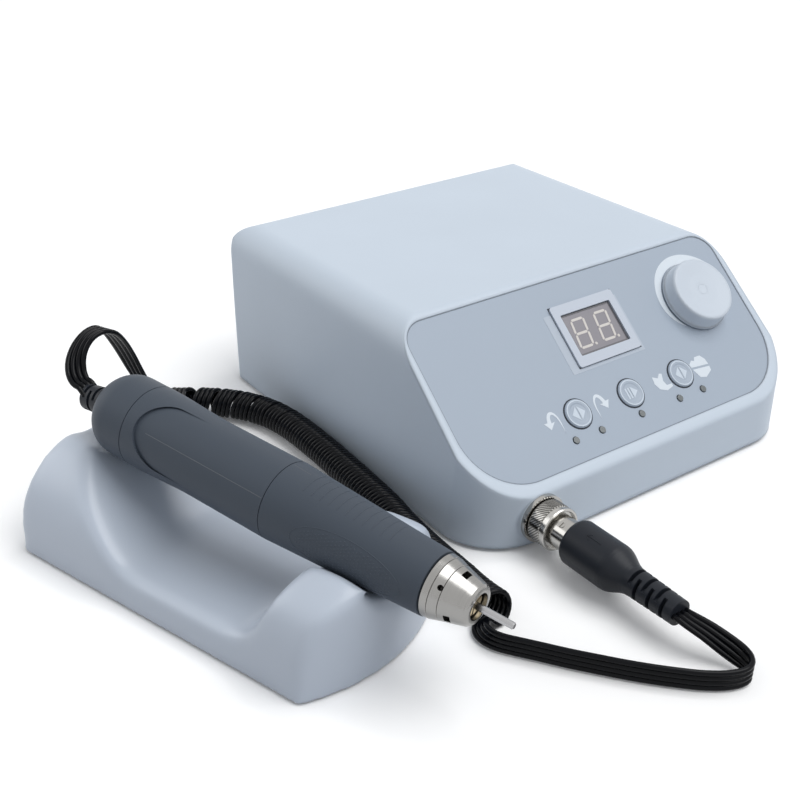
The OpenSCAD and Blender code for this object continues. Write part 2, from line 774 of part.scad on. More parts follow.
module motor_socket() color(steel_colour) on_socket() {
    difference() {
        union() {
            cylinder(d = flange_d, h = socket_flange_t);
            translate([0, 0, -socket_in]) cylinder(d = barrel_d, h = socket_in + socket_out);
        }
        translate([0, 0, socket_flange_t]) cylinder(r = barrel_bore_r, h = socket_out);
    }
    for (turn = [0 : 90 : 270]) rotate(turn + 45) translate([3, 0, -socket_in - 4]) cylinder(d = 1.4, h = 5);
}

module socket_nut() color(steel_colour) on_socket() translate([0, 0, -case_wall - pad_in - 3]) difference() {
    cylinder(d = barrel_d + 5, h = 3, $fn = 6);
    translate([0, 0, -1]) cylinder(d = barrel_d + 2 * run_fit, h = 5);
}

module coupling_ring() color(steel_colour) on_socket() difference() {
    r = ring_d / 2;
    rotate_extrude() polygon([[0, ring_start], [r - 0.3, ring_start], [r, ring_start + 0.4],
        [r, lip_start - 1], [r - 0.7, lip_start - 0.6], [r - 0.7, lip_start], [r - 0.2, lip_start + 0.4],
        [r - 0.2, ring_end - 0.5], [r - 0.6, ring_end], [0, ring_end]]);
    translate([0, 0, ring_start - 1]) cylinder(r = cavity_r, h = lip_start - ring_start + 1);
    translate([0, 0, ring_start]) cylinder(d = shell_d + 2 * run_fit, h = ring_len + 1);
}

shell_start = socket_out + 0.2;
shell_end = boot_start + 9;
screw_turn = 118;
screw_z = ring_end + 3.4;

module plug_shell() color(steel_colour) on_socket() difference() {
    union() {
        translate([0, 0, shell_start]) cylinder(r = cavity_r - move_gap, h = lip_start - 0.2 - shell_start);
        translate([0, 0, shell_start]) cylinder(d = shell_d, h = shell_end - shell_start);
    }
    translate([0, 0, shell_start - 1]) cylinder(r = barrel_bore_r - 0.15, h = shell_end - shell_start + 2);
    rotate(screw_turn) translate([0, 0, screw_z]) rotate([0, 90, 0]) cylinder(d = 2.5, h = shell_d);
}

module plug_insert() color(rubber_colour) on_socket() {
    translate([0, 0, socket_flange_t + 1]) cylinder(r = barrel_bore_r - 0.2, h = 10);
}

module plug_screw() color(steel_colour) on_socket() rotate(screw_turn) translate([0, 0, screw_z])
    rotate([0, 90, 0]) translate([0, 0, barrel_bore_r - 0.1]) difference() {
        length = shell_d / 2 - barrel_bore_r + 0.3;
        cylinder(d = 2.4, h = length);
        translate([-0.3, -2, length - 0.4]) cube([0.6, 4, 1]);
    }

// Strain relief slots: flat cuts in pairs that leave a bridge, each turned a quarter from the last
module relief_slots(first, pitch, count, width, bridge, reach) {
    for (k = [0 : count - 1], side = [0, 180])
        translate([0, 0, first + k * pitch]) rotate(90 * (k % 2) + side)
            translate([-reach, bridge / 2, 0]) cube([2 * reach, reach, width]);
}

relief_start = boot_start + boot_straight + boot_taper;
relief_end = relief_start + relief_len;
function eased(t) = (1 - cos(180 * t)) / 2;

module plug_boot() color(rubber_colour) on_socket() difference() {
    big = boot_d / 2;
    small = relief_big_d / 2;
    taper_start = boot_start + boot_straight;
    rotate_extrude() polygon(concat(
        [[0, boot_start], [big - 1.6, boot_start], [big - 0.5, boot_start + 0.5], [big, boot_start + 1.6]],
        [for (k = [0 : 8]) [big - (big - small) * eased(k / 8), taper_start + boot_taper * k / 8]],
        [[relief_small_d / 2, relief_end], [0, relief_end]]));
    translate([0, 0, boot_start - 1]) cylinder(d = shell_d + 2 * run_fit, h = shell_end - boot_start + 1.2);
    relief_slots(relief_start + 0.6, 2.9, 6, 1.5, 4.4, relief_big_d);
}

// Rear wall fittings

inlet_body_w = 27;
inlet_body_h = 19.6;
inlet_flange_t = 2.5;
inlet_depth = 17;
inlet_recess = 16.5;
blade_len = 11;

// Mains inlet outline: a rectangle with its two lower corners cut
module inlet_outline(grow) {
    x = inlet_body_w / 2 + grow;
    y = inlet_body_h / 2 + grow;
    cut = 5;
    polygon([[-x + cut, -y], [x - cut, -y], [x, -y + cut], [x, y], [-x, y], [-x, -y + cut]]);
}

blade_places = [[-7, -1], [7, -1], [0, 3]];

module power_inlet() color(rubber_colour) on_rear(inlet_x) difference() {
    union() {
        rounded_block(inlet_body_w + 6, inlet_body_h + 6, inlet_flange_t, 2);
        translate([0, 0, -inlet_depth]) linear_extrude(inlet_depth + 1) inlet_outline(0);
    }
    translate([0, 0, inlet_flange_t - inlet_recess]) linear_extrude(inlet_recess + 1) inlet_outline(-1.6);
    for (p = blade_places) translate([p.x - 1 - run_fit, p.y - 2 - run_fit, -inlet_depth - 1])
        cube([2 + 2 * run_fit, 4 + 2 * run_fit, inlet_depth]);
}

module inlet_pins() color(brass_colour) on_rear(inlet_x) for (p = blade_places)
    translate([p.x - 1, p.y - 2, -inlet_depth - 5])
        cube([2, 4, inlet_depth + 5 + inlet_flange_t - inlet_recess + blade_len]);

switch_body_w = 13;
switch_body_h = 19.2;
switch_flange_t = 1.8;
rocker_w = 10.2;
rocker_tip = 7.2;
rocker_pivot = -1.5;
rocker_rest = 8;

module power_switch() color(rubber_colour) on_rear(switch_x) difference() {
    union() {
        rounded_block(switch_body_w + 3, switch_body_h + 3, switch_flange_t, 1);
        translate([0, 0, -15]) rounded_block(switch_body_w, switch_body_h, 16, 0.6);
    }
    translate([-rocker_w / 2 - move_gap, -rocker_tip - 1.2, -10])
        cube([rocker_w + 2 * move_gap, 2 * rocker_tip + 2.4, 20]);
    translate([-switch_body_w / 2 + 0.4, 0, rocker_pivot]) rotate([0, 90, 0])
        cylinder(d = 2 + 2 * run_fit, h = switch_body_w - 0.8);
}

module power_rocker() color([0.13, 0.13, 0.14])
on_rear(switch_x) translate([0, 0, rocker_pivot]) rotate([rocker_rest, 0, 0]) {
    translate([-rocker_w / 2, 0, 0]) rotate([90, 0, 90]) linear_extrude(rocker_w)
        polygon([[-3.5, -4], [3.5, -4], [rocker_tip, 4.4], [rocker_tip - 0.6, 4.8], [0, 3.4],
            [-rocker_tip + 0.6, 4.8], [-rocker_tip, 4.4]]);
    translate([-switch_body_w / 2 + 0.6, 0, 0]) rotate([0, 90, 0]) cylinder(d = 2, h = switch_body_w - 1.2);
}

foot_barrel_d = foot_bore_d + 2.8;
foot_nut_t = 2.4;

module foot_socket() color([0.24, 0.25, 0.27]) on_rear(foot_socket_x) difference() {
    union() {
        translate([0, 0, -case_wall - 20]) rounded_block(foot_barrel_d + 4, foot_barrel_d + 4, 20, 1);
        translate([0, 0, -case_wall - 1]) cylinder(d = foot_barrel_d, h = case_wall + 1 + foot_socket_out);
    }
    translate([0, 0, -case_wall - 18]) cylinder(d = foot_bore_d, h = 40);
}

module foot_socket_nut() color(steel_colour) on_rear(foot_socket_x) difference() {
    cylinder(d = foot_barrel_d + 5, h = foot_nut_t, $fn = 6);
    translate([0, 0, -1]) cylinder(d = foot_barrel_d + 2 * run_fit, h = foot_nut_t + 2);
}

// Handpiece

motor_r = motor_d / 2;
rear_r = rear_d / 2;
grip_front_r = grip_front_d / 2;
motor_bore_r = motor_bore_d / 2;
spigot_r = motor_bore_r + 0.9;
spigot_len = 6;
bulkhead_t = bearing_w + 1;

module rear_cap() color(grip_colour) on_handpiece() difference() {
    cap_end = -move_gap;
    rotate_extrude() intersection() {
        translate([0, -cap_len]) square([rear_r, cap_len]);
        rounded_outline([[-rear_r, -cap_len], [rear_r, -cap_len], [rear_r, cap_end], [-rear_r, cap_end]],
            [cap_round, cap_round, 0, 0]);
    }
    inner_round = cap_round - cap_wall;
    inner_r = spigot_r + run_fit;
    rotate_extrude() intersection() {
        translate([0, -cap_len + cap_wall]) square([rear_r, cap_len + 2]);
        rounded_outline([[-inner_r, -cap_len + cap_wall], [inner_r, -cap_len + cap_wall],
            [inner_r, 1], [-inner_r, 1]], [inner_round, inner_round, 0, 0]);
    }
    translate([0, 0, -cap_len - 1]) cylinder(d = bush_d + 2 * move_gap, h = cap_wall + 4);
}

// Strain relief of the cord: a flange inside the cap and a slotted sleeve that bends behind it
module cord_bush() color(rubber_colour) on_handpiece() {
    flange_r = bush_d / 2 + 2;
    inner_round = cap_round - cap_wall;
    past_flat = max(0, flange_r - spigot_r - run_fit + inner_round);
    flange_z = -cap_len + cap_wall + inner_round - sqrt(pow(inner_round, 2) - pow(past_flat, 2)) + move_gap;
    neck = 1.2;
    cord_gap = 0.9;
    bend_z = -cap_len - neck;
    translate([0, 0, flange_z]) cylinder(r = flange_r, h = 2);
    translate([0, 0, bend_z - 1.5]) cylinder(d = bush_d - 1, h = flange_z - bend_z + 2.5);
    translate([0, 0, bend_z]) rotate([180 - bush_bend, 0, 0]) difference() {
        cylinder(d1 = bush_d, d2 = bush_d - 0.8, h = bush_len - neck - cord_gap);
        relief_slots(2.4, 2.7, 4, 1.4, 4.2, bush_d);
    }
}

// Radius of the motor body: a collar at the rear that eases into the straight body
function body_r(z) = z < collar_len ? motor_r + (rear_r - motor_r) * (1 - eased(z / collar_len)) : motor_r;

// Motor body, with the collar scooped away on the label side
label_turn = 143;
scoop_r = 11.5;
scoop_start = 5;

module motor_case() color(grip_colour) on_handpiece() difference() {
    union() {
        cylinder(r = motor_r, h = motor_len);
        difference() {
            rotate_extrude() polygon(concat([[0, 0]],
                [for (k = [0 : 8]) [body_r(collar_len * k / 8), collar_len * k / 8]], [[0, collar_len]]));
            rotate(label_turn) translate([motor_r / 2, 0, scoop_start + scoop_r]) rotate([0, 90, 0]) {
                cylinder(r = scoop_r, h = rear_r);
                translate([-collar_len, -scoop_r, 0]) cube([collar_len, 2 * scoop_r, rear_r]);
            }
        }
        translate([0, 0, -spigot_len]) cylinder(r = spigot_r, h = spigot_len + 1);
    }
    translate([0, 0, -spigot_len - 1])
        cylinder(r = motor_bore_r, h = spigot_len + 1 + motor_len - bulkhead_t);
    translate([0, 0, motor_len - bearing_w]) cylinder(d = bearing_d + 2 * run_fit, h = bearing_w + 1);
    cylinder(d = rotor_shaft_d + 2, h = motor_len);
}

rotor_mid = 32;
rotor_start = rotor_mid - rotor_len / 2;
magnet_r = motor_bore_r - run_fit;
plate_z = -1;
commutator_z = plate_z + 6;

module magnets() color([0.20, 0.20, 0.21]) on_handpiece() translate([0, 0, rotor_start - 1]) difference() {
    tube(magnet_r, magnet_r - magnet_t, rotor_len + 2);
    translate([-magnet_r - 1, -2, -1]) cube([2 * magnet_r + 2, 4, rotor_len + 4]);
}

module rotor() color([0.50, 0.40, 0.28]) on_handpiece() translate([0, 0, rotor_start]) difference() {
    cylinder(d = rotor_d, h = rotor_len);
    translate([0, 0, -1]) cylinder(d = rotor_shaft_d + 2 * run_fit, h = rotor_len + 2);
    for (k = [0 : 6]) rotate(k * 360 / 7) translate([rotor_d / 2 - 2.4, -0.9, -1])
        cube([4, 1.8, rotor_len + 2]);
}

module commutator() color(brass_colour) on_handpiece() translate([0, 0, commutator_z])
    tube(commutator_d / 2, rotor_shaft_d / 2 + run_fit, commutator_len);

brush_start = commutator_d / 2 + 0.08;
brush_end = motor_bore_r - 1.6;
brush_w = 4;

// Brush plate: the bearing carrier at the motor's rear, with a guide for each brush
module brush_plate() color([0.35, 0.24, 0.16]) on_handpiece() difference() {
    union() {
        translate([0, 0, plate_z - 4]) cylinder(r = motor_bore_r - run_fit, h = 5.5);
        for (side = [0, 180]) rotate(side) translate([brush_start + 1.5, -brush_w / 2 - 1, plate_z])
            cube([brush_end - brush_start - 1.5, brush_w + 2, commutator_z - plate_z + commutator_len - 0.5]);
    }
    translate([0, 0, plate_z - 5]) cylinder(d = rotor_shaft_d + 2, h = 20);
    translate([0, 0, plate_z - 3]) cylinder(d = bearing_d + 2 * run_fit, h = 20);
    for (side = [0, 180]) rotate(side) translate([0, -brush_w / 2 - run_fit, commutator_z + 1])
        cube([brush_end + 1, brush_w + 2 * run_fit, commutator_len - 3 + 2 * run_fit]);
}

module carbon_brushes() color([0.14, 0.14, 0.15]) on_handpiece() for (side = [0, 180]) rotate(side)
    difference() {
        translate([commutator_d / 2 - 1, -brush_w / 2, commutator_z + 1 + run_fit])
            cube([brush_end - commutator_d / 2, brush_w, commutator_len - 3]);
        cylinder(r = brush_start, h = 40);
    }

bearing_front = grip_end - bearing_w - 4;
bearing_rear = motor_len + 6;
housing_r = bearing_d / 2 + run_fit + housing_wall;
spigot_front = 4;

// Motor shaft and spindle in one, bored at the front for the collet
module spindle() color(steel_colour) on_handpiece() difference() {
    union() {
        translate([0, 0, plate_z - 3]) cylinder(d = rotor_shaft_d, h = motor_len + 6);
        translate([0, 0, motor_len + 0.5]) cylinder(d = spindle_d, h = seat_end - motor_len - 0.5);
    }
    bore = collet_d + 2 * run_fit;
    translate([0, 0, collet_start - 2]) cylinder(d = bore, h = 60);
    translate([0, 0, seat_end - seat_len])
        cylinder(d1 = bore, d2 = collet_head_d + 2 * run_fit, h = seat_len);
}

module ring_bearing(inner_d) {
    difference() {
        tube(bearing_d / 2, inner_d / 2 + run_fit, bearing_w);
        for (z = [-0.1, bearing_w - 0.5]) translate([0, 0, z])
            tube(bearing_d / 2 - 1.4, inner_d / 2 + 1.2, 0.6);
    }
}

module motor_bearings() color(steel_colour) on_handpiece() {
    translate([0, 0, plate_z - 3 + run_fit]) ring_bearing(rotor_shaft_d);
    translate([0, 0, motor_len - bearing_w]) ring_bearing(rotor_shaft_d);
}

module spindle_bearings() color(steel_colour) on_handpiece() {
    for (z = [bearing_rear, bearing_front]) translate([0, 0, z]) ring_bearing(spindle_d);
}

module spindle_housing() color([0.60, 0.61, 0.63]) on_handpiece() difference() {
    union() {
        translate([0, 0, motor_len]) cylinder(r = housing_r, h = grip_len + move_gap + spigot_front);
        translate([0, 0, motor_len]) cylinder(r = motor_r - 2.4, h = 3);
    }
    translate([0, 0, motor_len - 1]) cylinder(d = bearing_d - 2, h = grip_len + 20);
    translate([0, 0, bearing_rear]) cylinder(d = bearing_d + 2 * run_fit, h = grip_len + 20);
}

// Front grip: a tapered sleeve that turns on the housing to open the chuck
module front_grip() color(grip_colour) on_handpiece() difference() {
    cylinder_z = grip_start;
    translate([0, 0, cylinder_z]) cylinder(r1 = motor_r, r2 = grip_front_r, h = grip_end - cylinder_z);
    translate([0, 0, motor_len]) cylinder(r = housing_r + run_fit, h = grip_len + 1);
    translate([0, 0, motor_len]) cylinder(r = motor_r - 2.1, h = 16 + move_gap);
}

// Cam sleeve inside the grip, with a slanted slot for the chuck's push pin
module chuck_cam() color([0.66, 0.66, 0.65]) on_handpiece() translate([0, 0, motor_len + 4]) difference() {
    tube(motor_r - 2.1 - run_fit, housing_r + run_fit, 11);
    for (side = [0, 180]) rotate(side) translate([0, 0, 5.5]) rotate([25, 0, 0])
        translate([housing_r - 2, -4, -1]) cube([6, 8, 2]);
}

window_z = 8;
nose_skirt = 9;

module nose_cone() color(steel_colour) on_handpiece() translate([0, 0, nose_start]) difference() {
    r = nose_d / 2;
    face_r = nose_face_d / 2;
    cone_r = nose_cone_d / 2;
    cone_end = nose_len - 2.6;
    difference() {
        rotate_extrude() polygon([[0, 0], [r - 0.3, 0], [r, 0.4], [r - 0.2, 2.6], [r - 0.5, 2.75],
            [r - 0.3, 2.9], [r - 1.2, 5.8], [r - 1.5, 5.95], [r - 1.3, 6.1], [cone_r, cone_end],
            [cone_r - 0.5, nose_len - 1], [face_r + 0.8, nose_len - 0.2], [face_r, nose_len], [0, nose_len]]);
        translate([0, 0, -1]) cylinder(r = housing_r + run_fit, h = spigot_front + 1.1);
    }
    translate([0, 0, -1]) cylinder(d = mouth_d + 3, h = nose_len - 1);
    translate([0, 0, nose_len - 3]) cylinder(d = mouth_d, h = 5);
    for (turn = [0, 120, 240]) rotate(label_turn + 60 + turn) translate([4, -1.7, window_z])
        cube([nose_d, 3.4, 2]);
    for (turn = [0, 120, 240]) rotate(label_turn - 5 + turn) translate([0, 0, 5.2]) rotate([0, 90, 0])
        cylinder(d = 1.8, h = nose_d);
}

seat_end = nose_end - 4;
seat_len = 5;
collet_len = 26;
collet_start = seat_end - collet_len;
collet_stroke = 1;

module collet() color(brass_colour) on_handpiece() difference() {
    seat_start = seat_end - seat_len + 0.1;
    union() {
        translate([0, 0, collet_start]) cylinder(d = collet_d, h = collet_len - 2);
        translate([0, 0, seat_start]) cylinder(d1 = collet_d, d2 = collet_head_d, h = seat_len);
        translate([0, 0, seat_end]) cylinder(d = collet_head_d, h = 2.4);
    }
    translate([0, 0, collet_start - 1]) cylinder(d = shank_d + 2 * run_fit, h = collet_len + 10);
    for (turn = [0, 120, 240]) rotate(turn + 20) translate([0, -0.35, seat_end - 14])
        cube([collet_d, 0.7, 30]);
}

module tool_shank() color(steel_colour) on_handpiece() {
    translate([0, 0, nose_end - shank_in]) cylinder(d = shank_d - 0.04, h = shank_in);
    translate([0, 0, nose_end - 2]) cylinder(d = shank_d, h = shank_out + 1.6);
    translate([0, 0, shank_end - 0.4]) cylinder(d1 = shank_d, d2 = shank_d - 0.6, h = 0.4);
}

// Cradle

groove_gap = 0.45;
groove_lean = 8;
cradle_end_turn = asin((cradle_w / 2 - cradle_corner_r) / cradle_end_r);
front_cut_start = valley_front + hand_back - 12;
front_cut_end = cradle_l - cradle_back + hand_back + 12;
function grip_r(s) = motor_r + (grip_front_r - motor_r) * (s - grip_start) / (grip_end - grip_start);

// Channel for the handpiece: round below its axis, straight above it so that it lifts out
module hand_channel(grow) {
    rear = rear_r + groove_gap + grow;
    rear_start = -cradle_l;
    translate([0, 0, hand_z]) translate([0, hand_back, 0]) rotate([90 + hand_tilt, 0, 0]) {
        translate([0, 0, rear_start]) cylinder(r = rear, h = cradle_l + 20);
        translate([-rear * cos(groove_lean), 0, rear_start])
            cube([2 * rear * cos(groove_lean), 60, cradle_l + 20]);
        low = grip_r(front_cut_start) + groove_gap + grow;
        high = grip_r(front_cut_end) + groove_gap + grow;
        translate([0, 0, front_cut_start]) cylinder(r1 = low, r2 = high, h = front_cut_end - front_cut_start);
        translate([0, 0, 0]) rotate([-90, 0, 0]) mirror([0, 1, 0]) linear_extrude(60) polygon([
            [-low * cos(groove_lean), front_cut_start], [low * cos(groove_lean), front_cut_start],
            [high * cos(groove_lean), front_cut_end], [-high * cos(groove_lean), front_cut_end]]);
    }
}

// Plan of the cradle: a flat rear end, and a front end whose curve runs on past the sides until they cut it
module cradle_plan(inset) {
    x = cradle_w / 2 - inset;
    r = cradle_corner_r - inset;
    end_r = cradle_end_r - inset;
    tip_y = cradle_back - cradle_l + cradle_end_r - end_r / cos(cradle_end_turn);
    corner_y = tip_y + x * tan(cradle_end_turn);
    rounded_outline([[-x, corner_y], [0, tip_y], [x, corner_y], [x, cradle_back - inset],
        [-x, cradle_back - inset]], [r, end_r, r, r, r]);
}

// Outer or inner form: the plan, a leaning rear end, a tilted arch on leaning sides, a valley and the channel
module cradle_form(inset, low) {
    end = cradle_back - inset;
    top = 2 * arch_h;
    lean = tan(cradle_draft);
    top_x = cradle_w / 2 - inset - lean * (arch_h - inset - pad_t / 2);
    foot_x = top_x + lean * top;
    low_z = valley_z - inset;
    front = valley_front + inset * tan(front_slope / 2);
    back = valley_rear + inset * tan(rear_slope / 2);
    difference() {
        intersection() {
            translate([0, 0, low]) linear_extrude(top) cradle_plan(inset);
            translate([-cradle_w, 0, 0]) rotate([90, 0, 90]) linear_extrude(2 * cradle_w)
                polygon([[-cradle_l, low - 1], [end - lean * (low - 1 - pad_t / 2), low - 1],
                    [end - lean * (top - pad_t / 2), top], [-cradle_l, top]]);
            translate([0, 0, arch_h - inset]) rotate([-arch_tilt, 0, 0]) translate([0, cradle_l, 0])
                rotate([90, 0, 0]) linear_extrude(2 * cradle_l)
                    rounded_outline([[-foot_x, -top], [foot_x, -top], [top_x, 0], [-top_x, 0]],
                        [0, 0, arch_r - inset, arch_r - inset]);
        }
        translate([-cradle_w, 0, 0]) rotate([90, 0, 90]) linear_extrude(2 * cradle_w) rounded_outline([
            [-front - top / tan(front_slope), low_z + top], [-front, low_z], [back, low_z],
            [back + top / tan(rear_slope), low_z + top]],
            [0, valley_front_r + inset, valley_rear_r + inset, 0]);
        hand_channel(inset);
    }
}

module cradle_body() color(case_colour) on_cradle() difference() {
    cradle_form(0, pad_t / 2);
    cradle_form(cradle_wall, -3);
}

module cradle_pad() color([0.20, 0.20, 0.21]) on_cradle() {
    x = cradle_w / 2 - cradle_wall - set_gap;
    intersection() {
        linear_extrude(pad_t) cradle_plan(cradle_wall + set_gap);
        translate([-x, -cradle_l, -1]) cube([2 * x, 2 * cradle_l, pad_t + 2]);
    }
}

// Cord: a flat ribbon swept along points of x, y, z, heading and rise of its width

function width_dir(p) = [cos(p[3]) * cos(p[4]), sin(p[3]) * cos(p[4]), sin(p[4])];
function spot(p) = [p[0], p[1], p[2]];
function along(points, k) =
    unit(spot(points[min(k + 1, len(points) - 1)]) - spot(points[max(k - 1, 0)]));
function square_to(v, t) = unit(v - t * (v * t));

// One ring of ribbon outline at a point, with its run direction and width direction
function ribbon_ring(centre, run, wide, outline) =
    let (w = square_to(wide, run), t = cross(run, w))
    [for (q = outline) centre + w * q.x + t * q.y];

module swept(rings) {
    sides = len(rings[0]);
    last = len(rings) - 1;
    walls = [for (k = [0 : last - 1], j = [0 : sides - 1])
        let (a = k * sides + j, b = k * sides + (j + 1) % sides)
        each [[a, b, b + sides], [a, b + sides, a + sides]]];
    start_cap = [for (j = [1 : sides - 2]) [0, j + 1, j]];
    end_cap = [for (j = [1 : sides - 2]) [last * sides, last * sides + j, last * sides + j + 1]];
    polyhedron([for (ring = rings) each ring], concat(walls, start_cap, end_cap));
}

half_w = cord_w / 2;
half_t = cord_t / 2;
lead_outline = [[half_w, half_t / 2], [half_w - half_t / 2, half_t], [-half_w + half_t / 2, half_t],
    [-half_w, half_t / 2], [-half_w, -half_t / 2], [-half_w + half_t / 2, -half_t],
    [half_w - half_t / 2, -half_t], [half_w, -half_t / 2]];
curl_outline = [[half_w, 0], [half_w - half_t, half_t], [-half_w + half_t, half_t],
    [-half_w, 0], [-half_w + half_t, -half_t], [half_w - half_t, -half_t]];

rear_route = [
    [-181.7, 115.2, 55, 17, 0], [-182.6, 118, 55.8, 17, 0], [-182.4, 121.4, 58, 16, 0],
    [-180.8, 124.4, 61.6, 14, 0], [-177.6, 126.6, 65.4, 12, 0], [-173.2, 128, 68.2, 10, 0],
    [-168.4, 129, 68.6, 7, 0], [-164, 131, 65.4, 4, 0], [-159.9, 134.5, 58.9, 0, 0],
    [-156, 138, 51, -4, 0], [-152.4, 140.6, 42.4, -8, 0], [-149, 142, 34.4, -12, 0],
    [-145.4, 143.2, 27.4, -17, 0], [-141.4, 145.4, 21.6, -22, 0], [-136.6, 149.4, 17, -27, 0],
    [-132, 154.8, 13.8, -31, 0], [-127.5, 161, 12.2, -34, 0], [-124, 166, 12, -35.5, 0]];

front_route = [
    [-101.5, -25, 1.2, -87, 0], [-104.5, -25.2, 1.5, -85, 5], [-107.5, -26.2, 2.5, -65, 25],
    [-110, -28.4, 3.6, -35, 50], [-111.3, -31.6, 4.1, -10, 72], [-111, -35.4, 4.2, 10, 85],
    [-109.4, -39, 4.2, 20, 90], [-106, -44, 4.2, 20, 90], [-102.5, -49, 4.2, 20, 90],
    [-97, -57, 4.2, 20, 90], [-91, -65, 4.2, 20, 90], [-86, -71.5, 4.2, 20, 90],
    [-81, -77.5, 4.2, 20, 90], [-76, -83, 4.2, 20, 90], [-70.5, -88.5, 4.2, 20, 90],
    [-64.5, -93, 4.2, 20, 90], [-59, -95.2, 4.2, 20, 90], [-55, -94.8, 4.2, 20, 86],
    [-52.8, -92, 4.5, 20, 78], [-52.8, -88, 5.3, 20, 62], [-54.4, -83.5, 7.2, 18, 42],
    [-56.8, -78, 9.8, 12, 20], [-58.8, -73, 11.4, 5, 6], [-59.5, -70, 12, 0, 0], [-59.5, -68, 12, 0, 0]];

curl_route = [
    [-124, 166], [-117, 161], [-110, 155], [-104.5, 148.5], [-100, 141], [-96.5, 131.5], [-94.5, 118],
    [-94.3, 97], [-95, 80], [-96, 62], [-97.5, 44], [-99.5, 30], [-101, 12], [-101.5, -5], [-102, -16],
    [-101.5, -25]];
curl_z = curl_d / 2 + 0.2;
curl_r = curl_d / 2 - half_t;

module route_tube(route) {
    rings = [for (k = [0 : len(route) - 1])
        ribbon_ring(spot(route[k]), along(route, k), width_dir(route[k]), lead_outline)];
    in_frame() swept(rings);
}

module cord_lead_front() color(rubber_colour) route_tube(front_route);

module cord_lead_rear() color(rubber_colour) route_tube(rear_route);

// Smooth line through the curl route, by travelled share t from 0 to 1
function blend_points(a, b, c, d, t) =
    0.5 * (2 * b + (c - a) * t + (2 * a - 5 * b + 4 * c - d) * t * t + (3 * b - a - 3 * c + d) * t * t * t);
function curl_axis(t) =
    let (n = len(curl_route) - 1, k = min(floor(t * n), n - 1), a = curl_route[max(k - 1, 0)],
         d = curl_route[min(k + 2, n)])
    blend_points(a, curl_route[k], curl_route[k + 1], d, t * n - k);

// Travelled lengths along the axis
axis_steps = 240;
axis_spots = [for (k = [0 : axis_steps]) curl_axis(k / axis_steps)];
function add_up(list, k, sum) =
    k >= len(list) ? [] : concat([sum + list[k]], add_up(list, k + 1, sum + list[k]));
axis_runs = concat([0], add_up([for (k = [1 : axis_steps]) norm(axis_spots[k] - axis_spots[k - 1])], 0, 0));
axis_len = axis_runs[axis_steps];
function axis_index(s) = max([for (k = [0 : axis_steps - 1]) axis_runs[k] <= s ? k : 0]);
function axis_spot(s) =
    let (k = axis_index(s), share = (s - axis_runs[k]) / (axis_runs[k + 1] - axis_runs[k]))
    axis_spots[k] + (axis_spots[k + 1] - axis_spots[k]) * share;
function axis_dir(s) =
    let (k = axis_index(s)) unit(axis_spots[min(k + 2, axis_steps)] - axis_spots[max(k - 1, 0)]);

// Pitch by place: wider in a bend, whose inner side draws the curls together, and along the drawn-out start
opening = 0.8;
opening_run = 25;
bend_span = 6;
function axis_bend(s) =
    let (low = max(s - bend_span, 0), high = min(s + bend_span, axis_len))
    acos(min(axis_dir(low) * axis_dir(high), 1)) * PI / 180 / (high - low);
function pitch_share(s) =
    (1 + opening * pow(max(1 - s / opening_run, 0), 2)) / (1 - curl_d / 2 * axis_bend(s));
turn_sums = concat([0], add_up([for (k = [1 : axis_steps])
    (axis_runs[k] - axis_runs[k - 1]) / pitch_share((axis_runs[k] + axis_runs[k - 1]) / 2)], 0, 0));
turn_places = [for (k = [0 : axis_steps])
    [(curls + 0.5) * turn_sums[k] / turn_sums[axis_steps], axis_runs[k]]];
rings_per_curl = 8;
curl_rings = floor((curls + 0.5) * rings_per_curl);
function curl_place(k) = lookup(k / rings_per_curl, turn_places);

function curl_spot(k) =
    let (s = curl_place(k), turn = 360 * k / rings_per_curl,
         p = axis_spot(s), a = axis_dir(s))
    [p.x - a.y * curl_r * sin(turn), p.y + a.x * curl_r * sin(turn), curl_z + curl_r * cos(turn)];
function curl_wide(k) = let (a = axis_dir(curl_place(k))) [a.x, a.y, 0];
curl_spots = [for (k = [0 : curl_rings]) curl_spot(k)];
function curl_run(k) =
    k == 0 ? unit([-curl_wide(0).y, curl_wide(0).x, 0]) :
    k == curl_rings ? unit([curl_wide(k).y, -curl_wide(k).x, 0]) :
    unit(curl_spots[k + 1] - curl_spots[k - 1]);
coil_rings = [for (k = [0 : curl_rings])
    ribbon_ring(curl_spots[k], curl_run(k), curl_wide(k), curl_outline)];

// Least gap between the facing edge points of one curl and the next
curl_gap = min([for (k = [0 : curl_rings - rings_per_curl])
    (coil_rings[k + rings_per_curl][3] - coil_rings[k][0]) * curl_wide(k + rings_per_curl)]);

module cord_coil() color(rubber_colour) {
    echo(least_gap_between_curls = curl_gap);
    in_frame() swept(coil_rings);
}

upper_case();
base_plate();
rubber_feet();
base_screws();
front_overlay();
display_bezel();
display_module();
display_segments();
indicator_lamps();
control_board();
board_screws();
tact_switches();
direction_button();
standby_button();
mode_button();
speed_pot();
pot_nut();
pot_shaft();
speed_knob();
driver_board();
board_spacers();
heat_sink();
smoothing_capacitors();
transformer_core();
transformer_winding();
motor_socket();
socket_nut();
power_inlet();
inlet_pins();
power_switch();
power_rocker();
foot_socket();
foot_socket_nut();
coupling_ring();
plug_shell();
plug_insert();
plug_screw();
plug_boot();
cord_lead_front();
cord_coil();
cord_lead_rear();
cord_bush();
rear_cap();
motor_case();
magnets();
brush_plate();
carbon_brushes();
commutator();
rotor();
spindle();
motor_bearings();
spindle_housing();
spindle_bearings();
chuck_cam();
front_grip();
nose_cone();
collet();
tool_shank();
cradle_body();
cradle_pad();
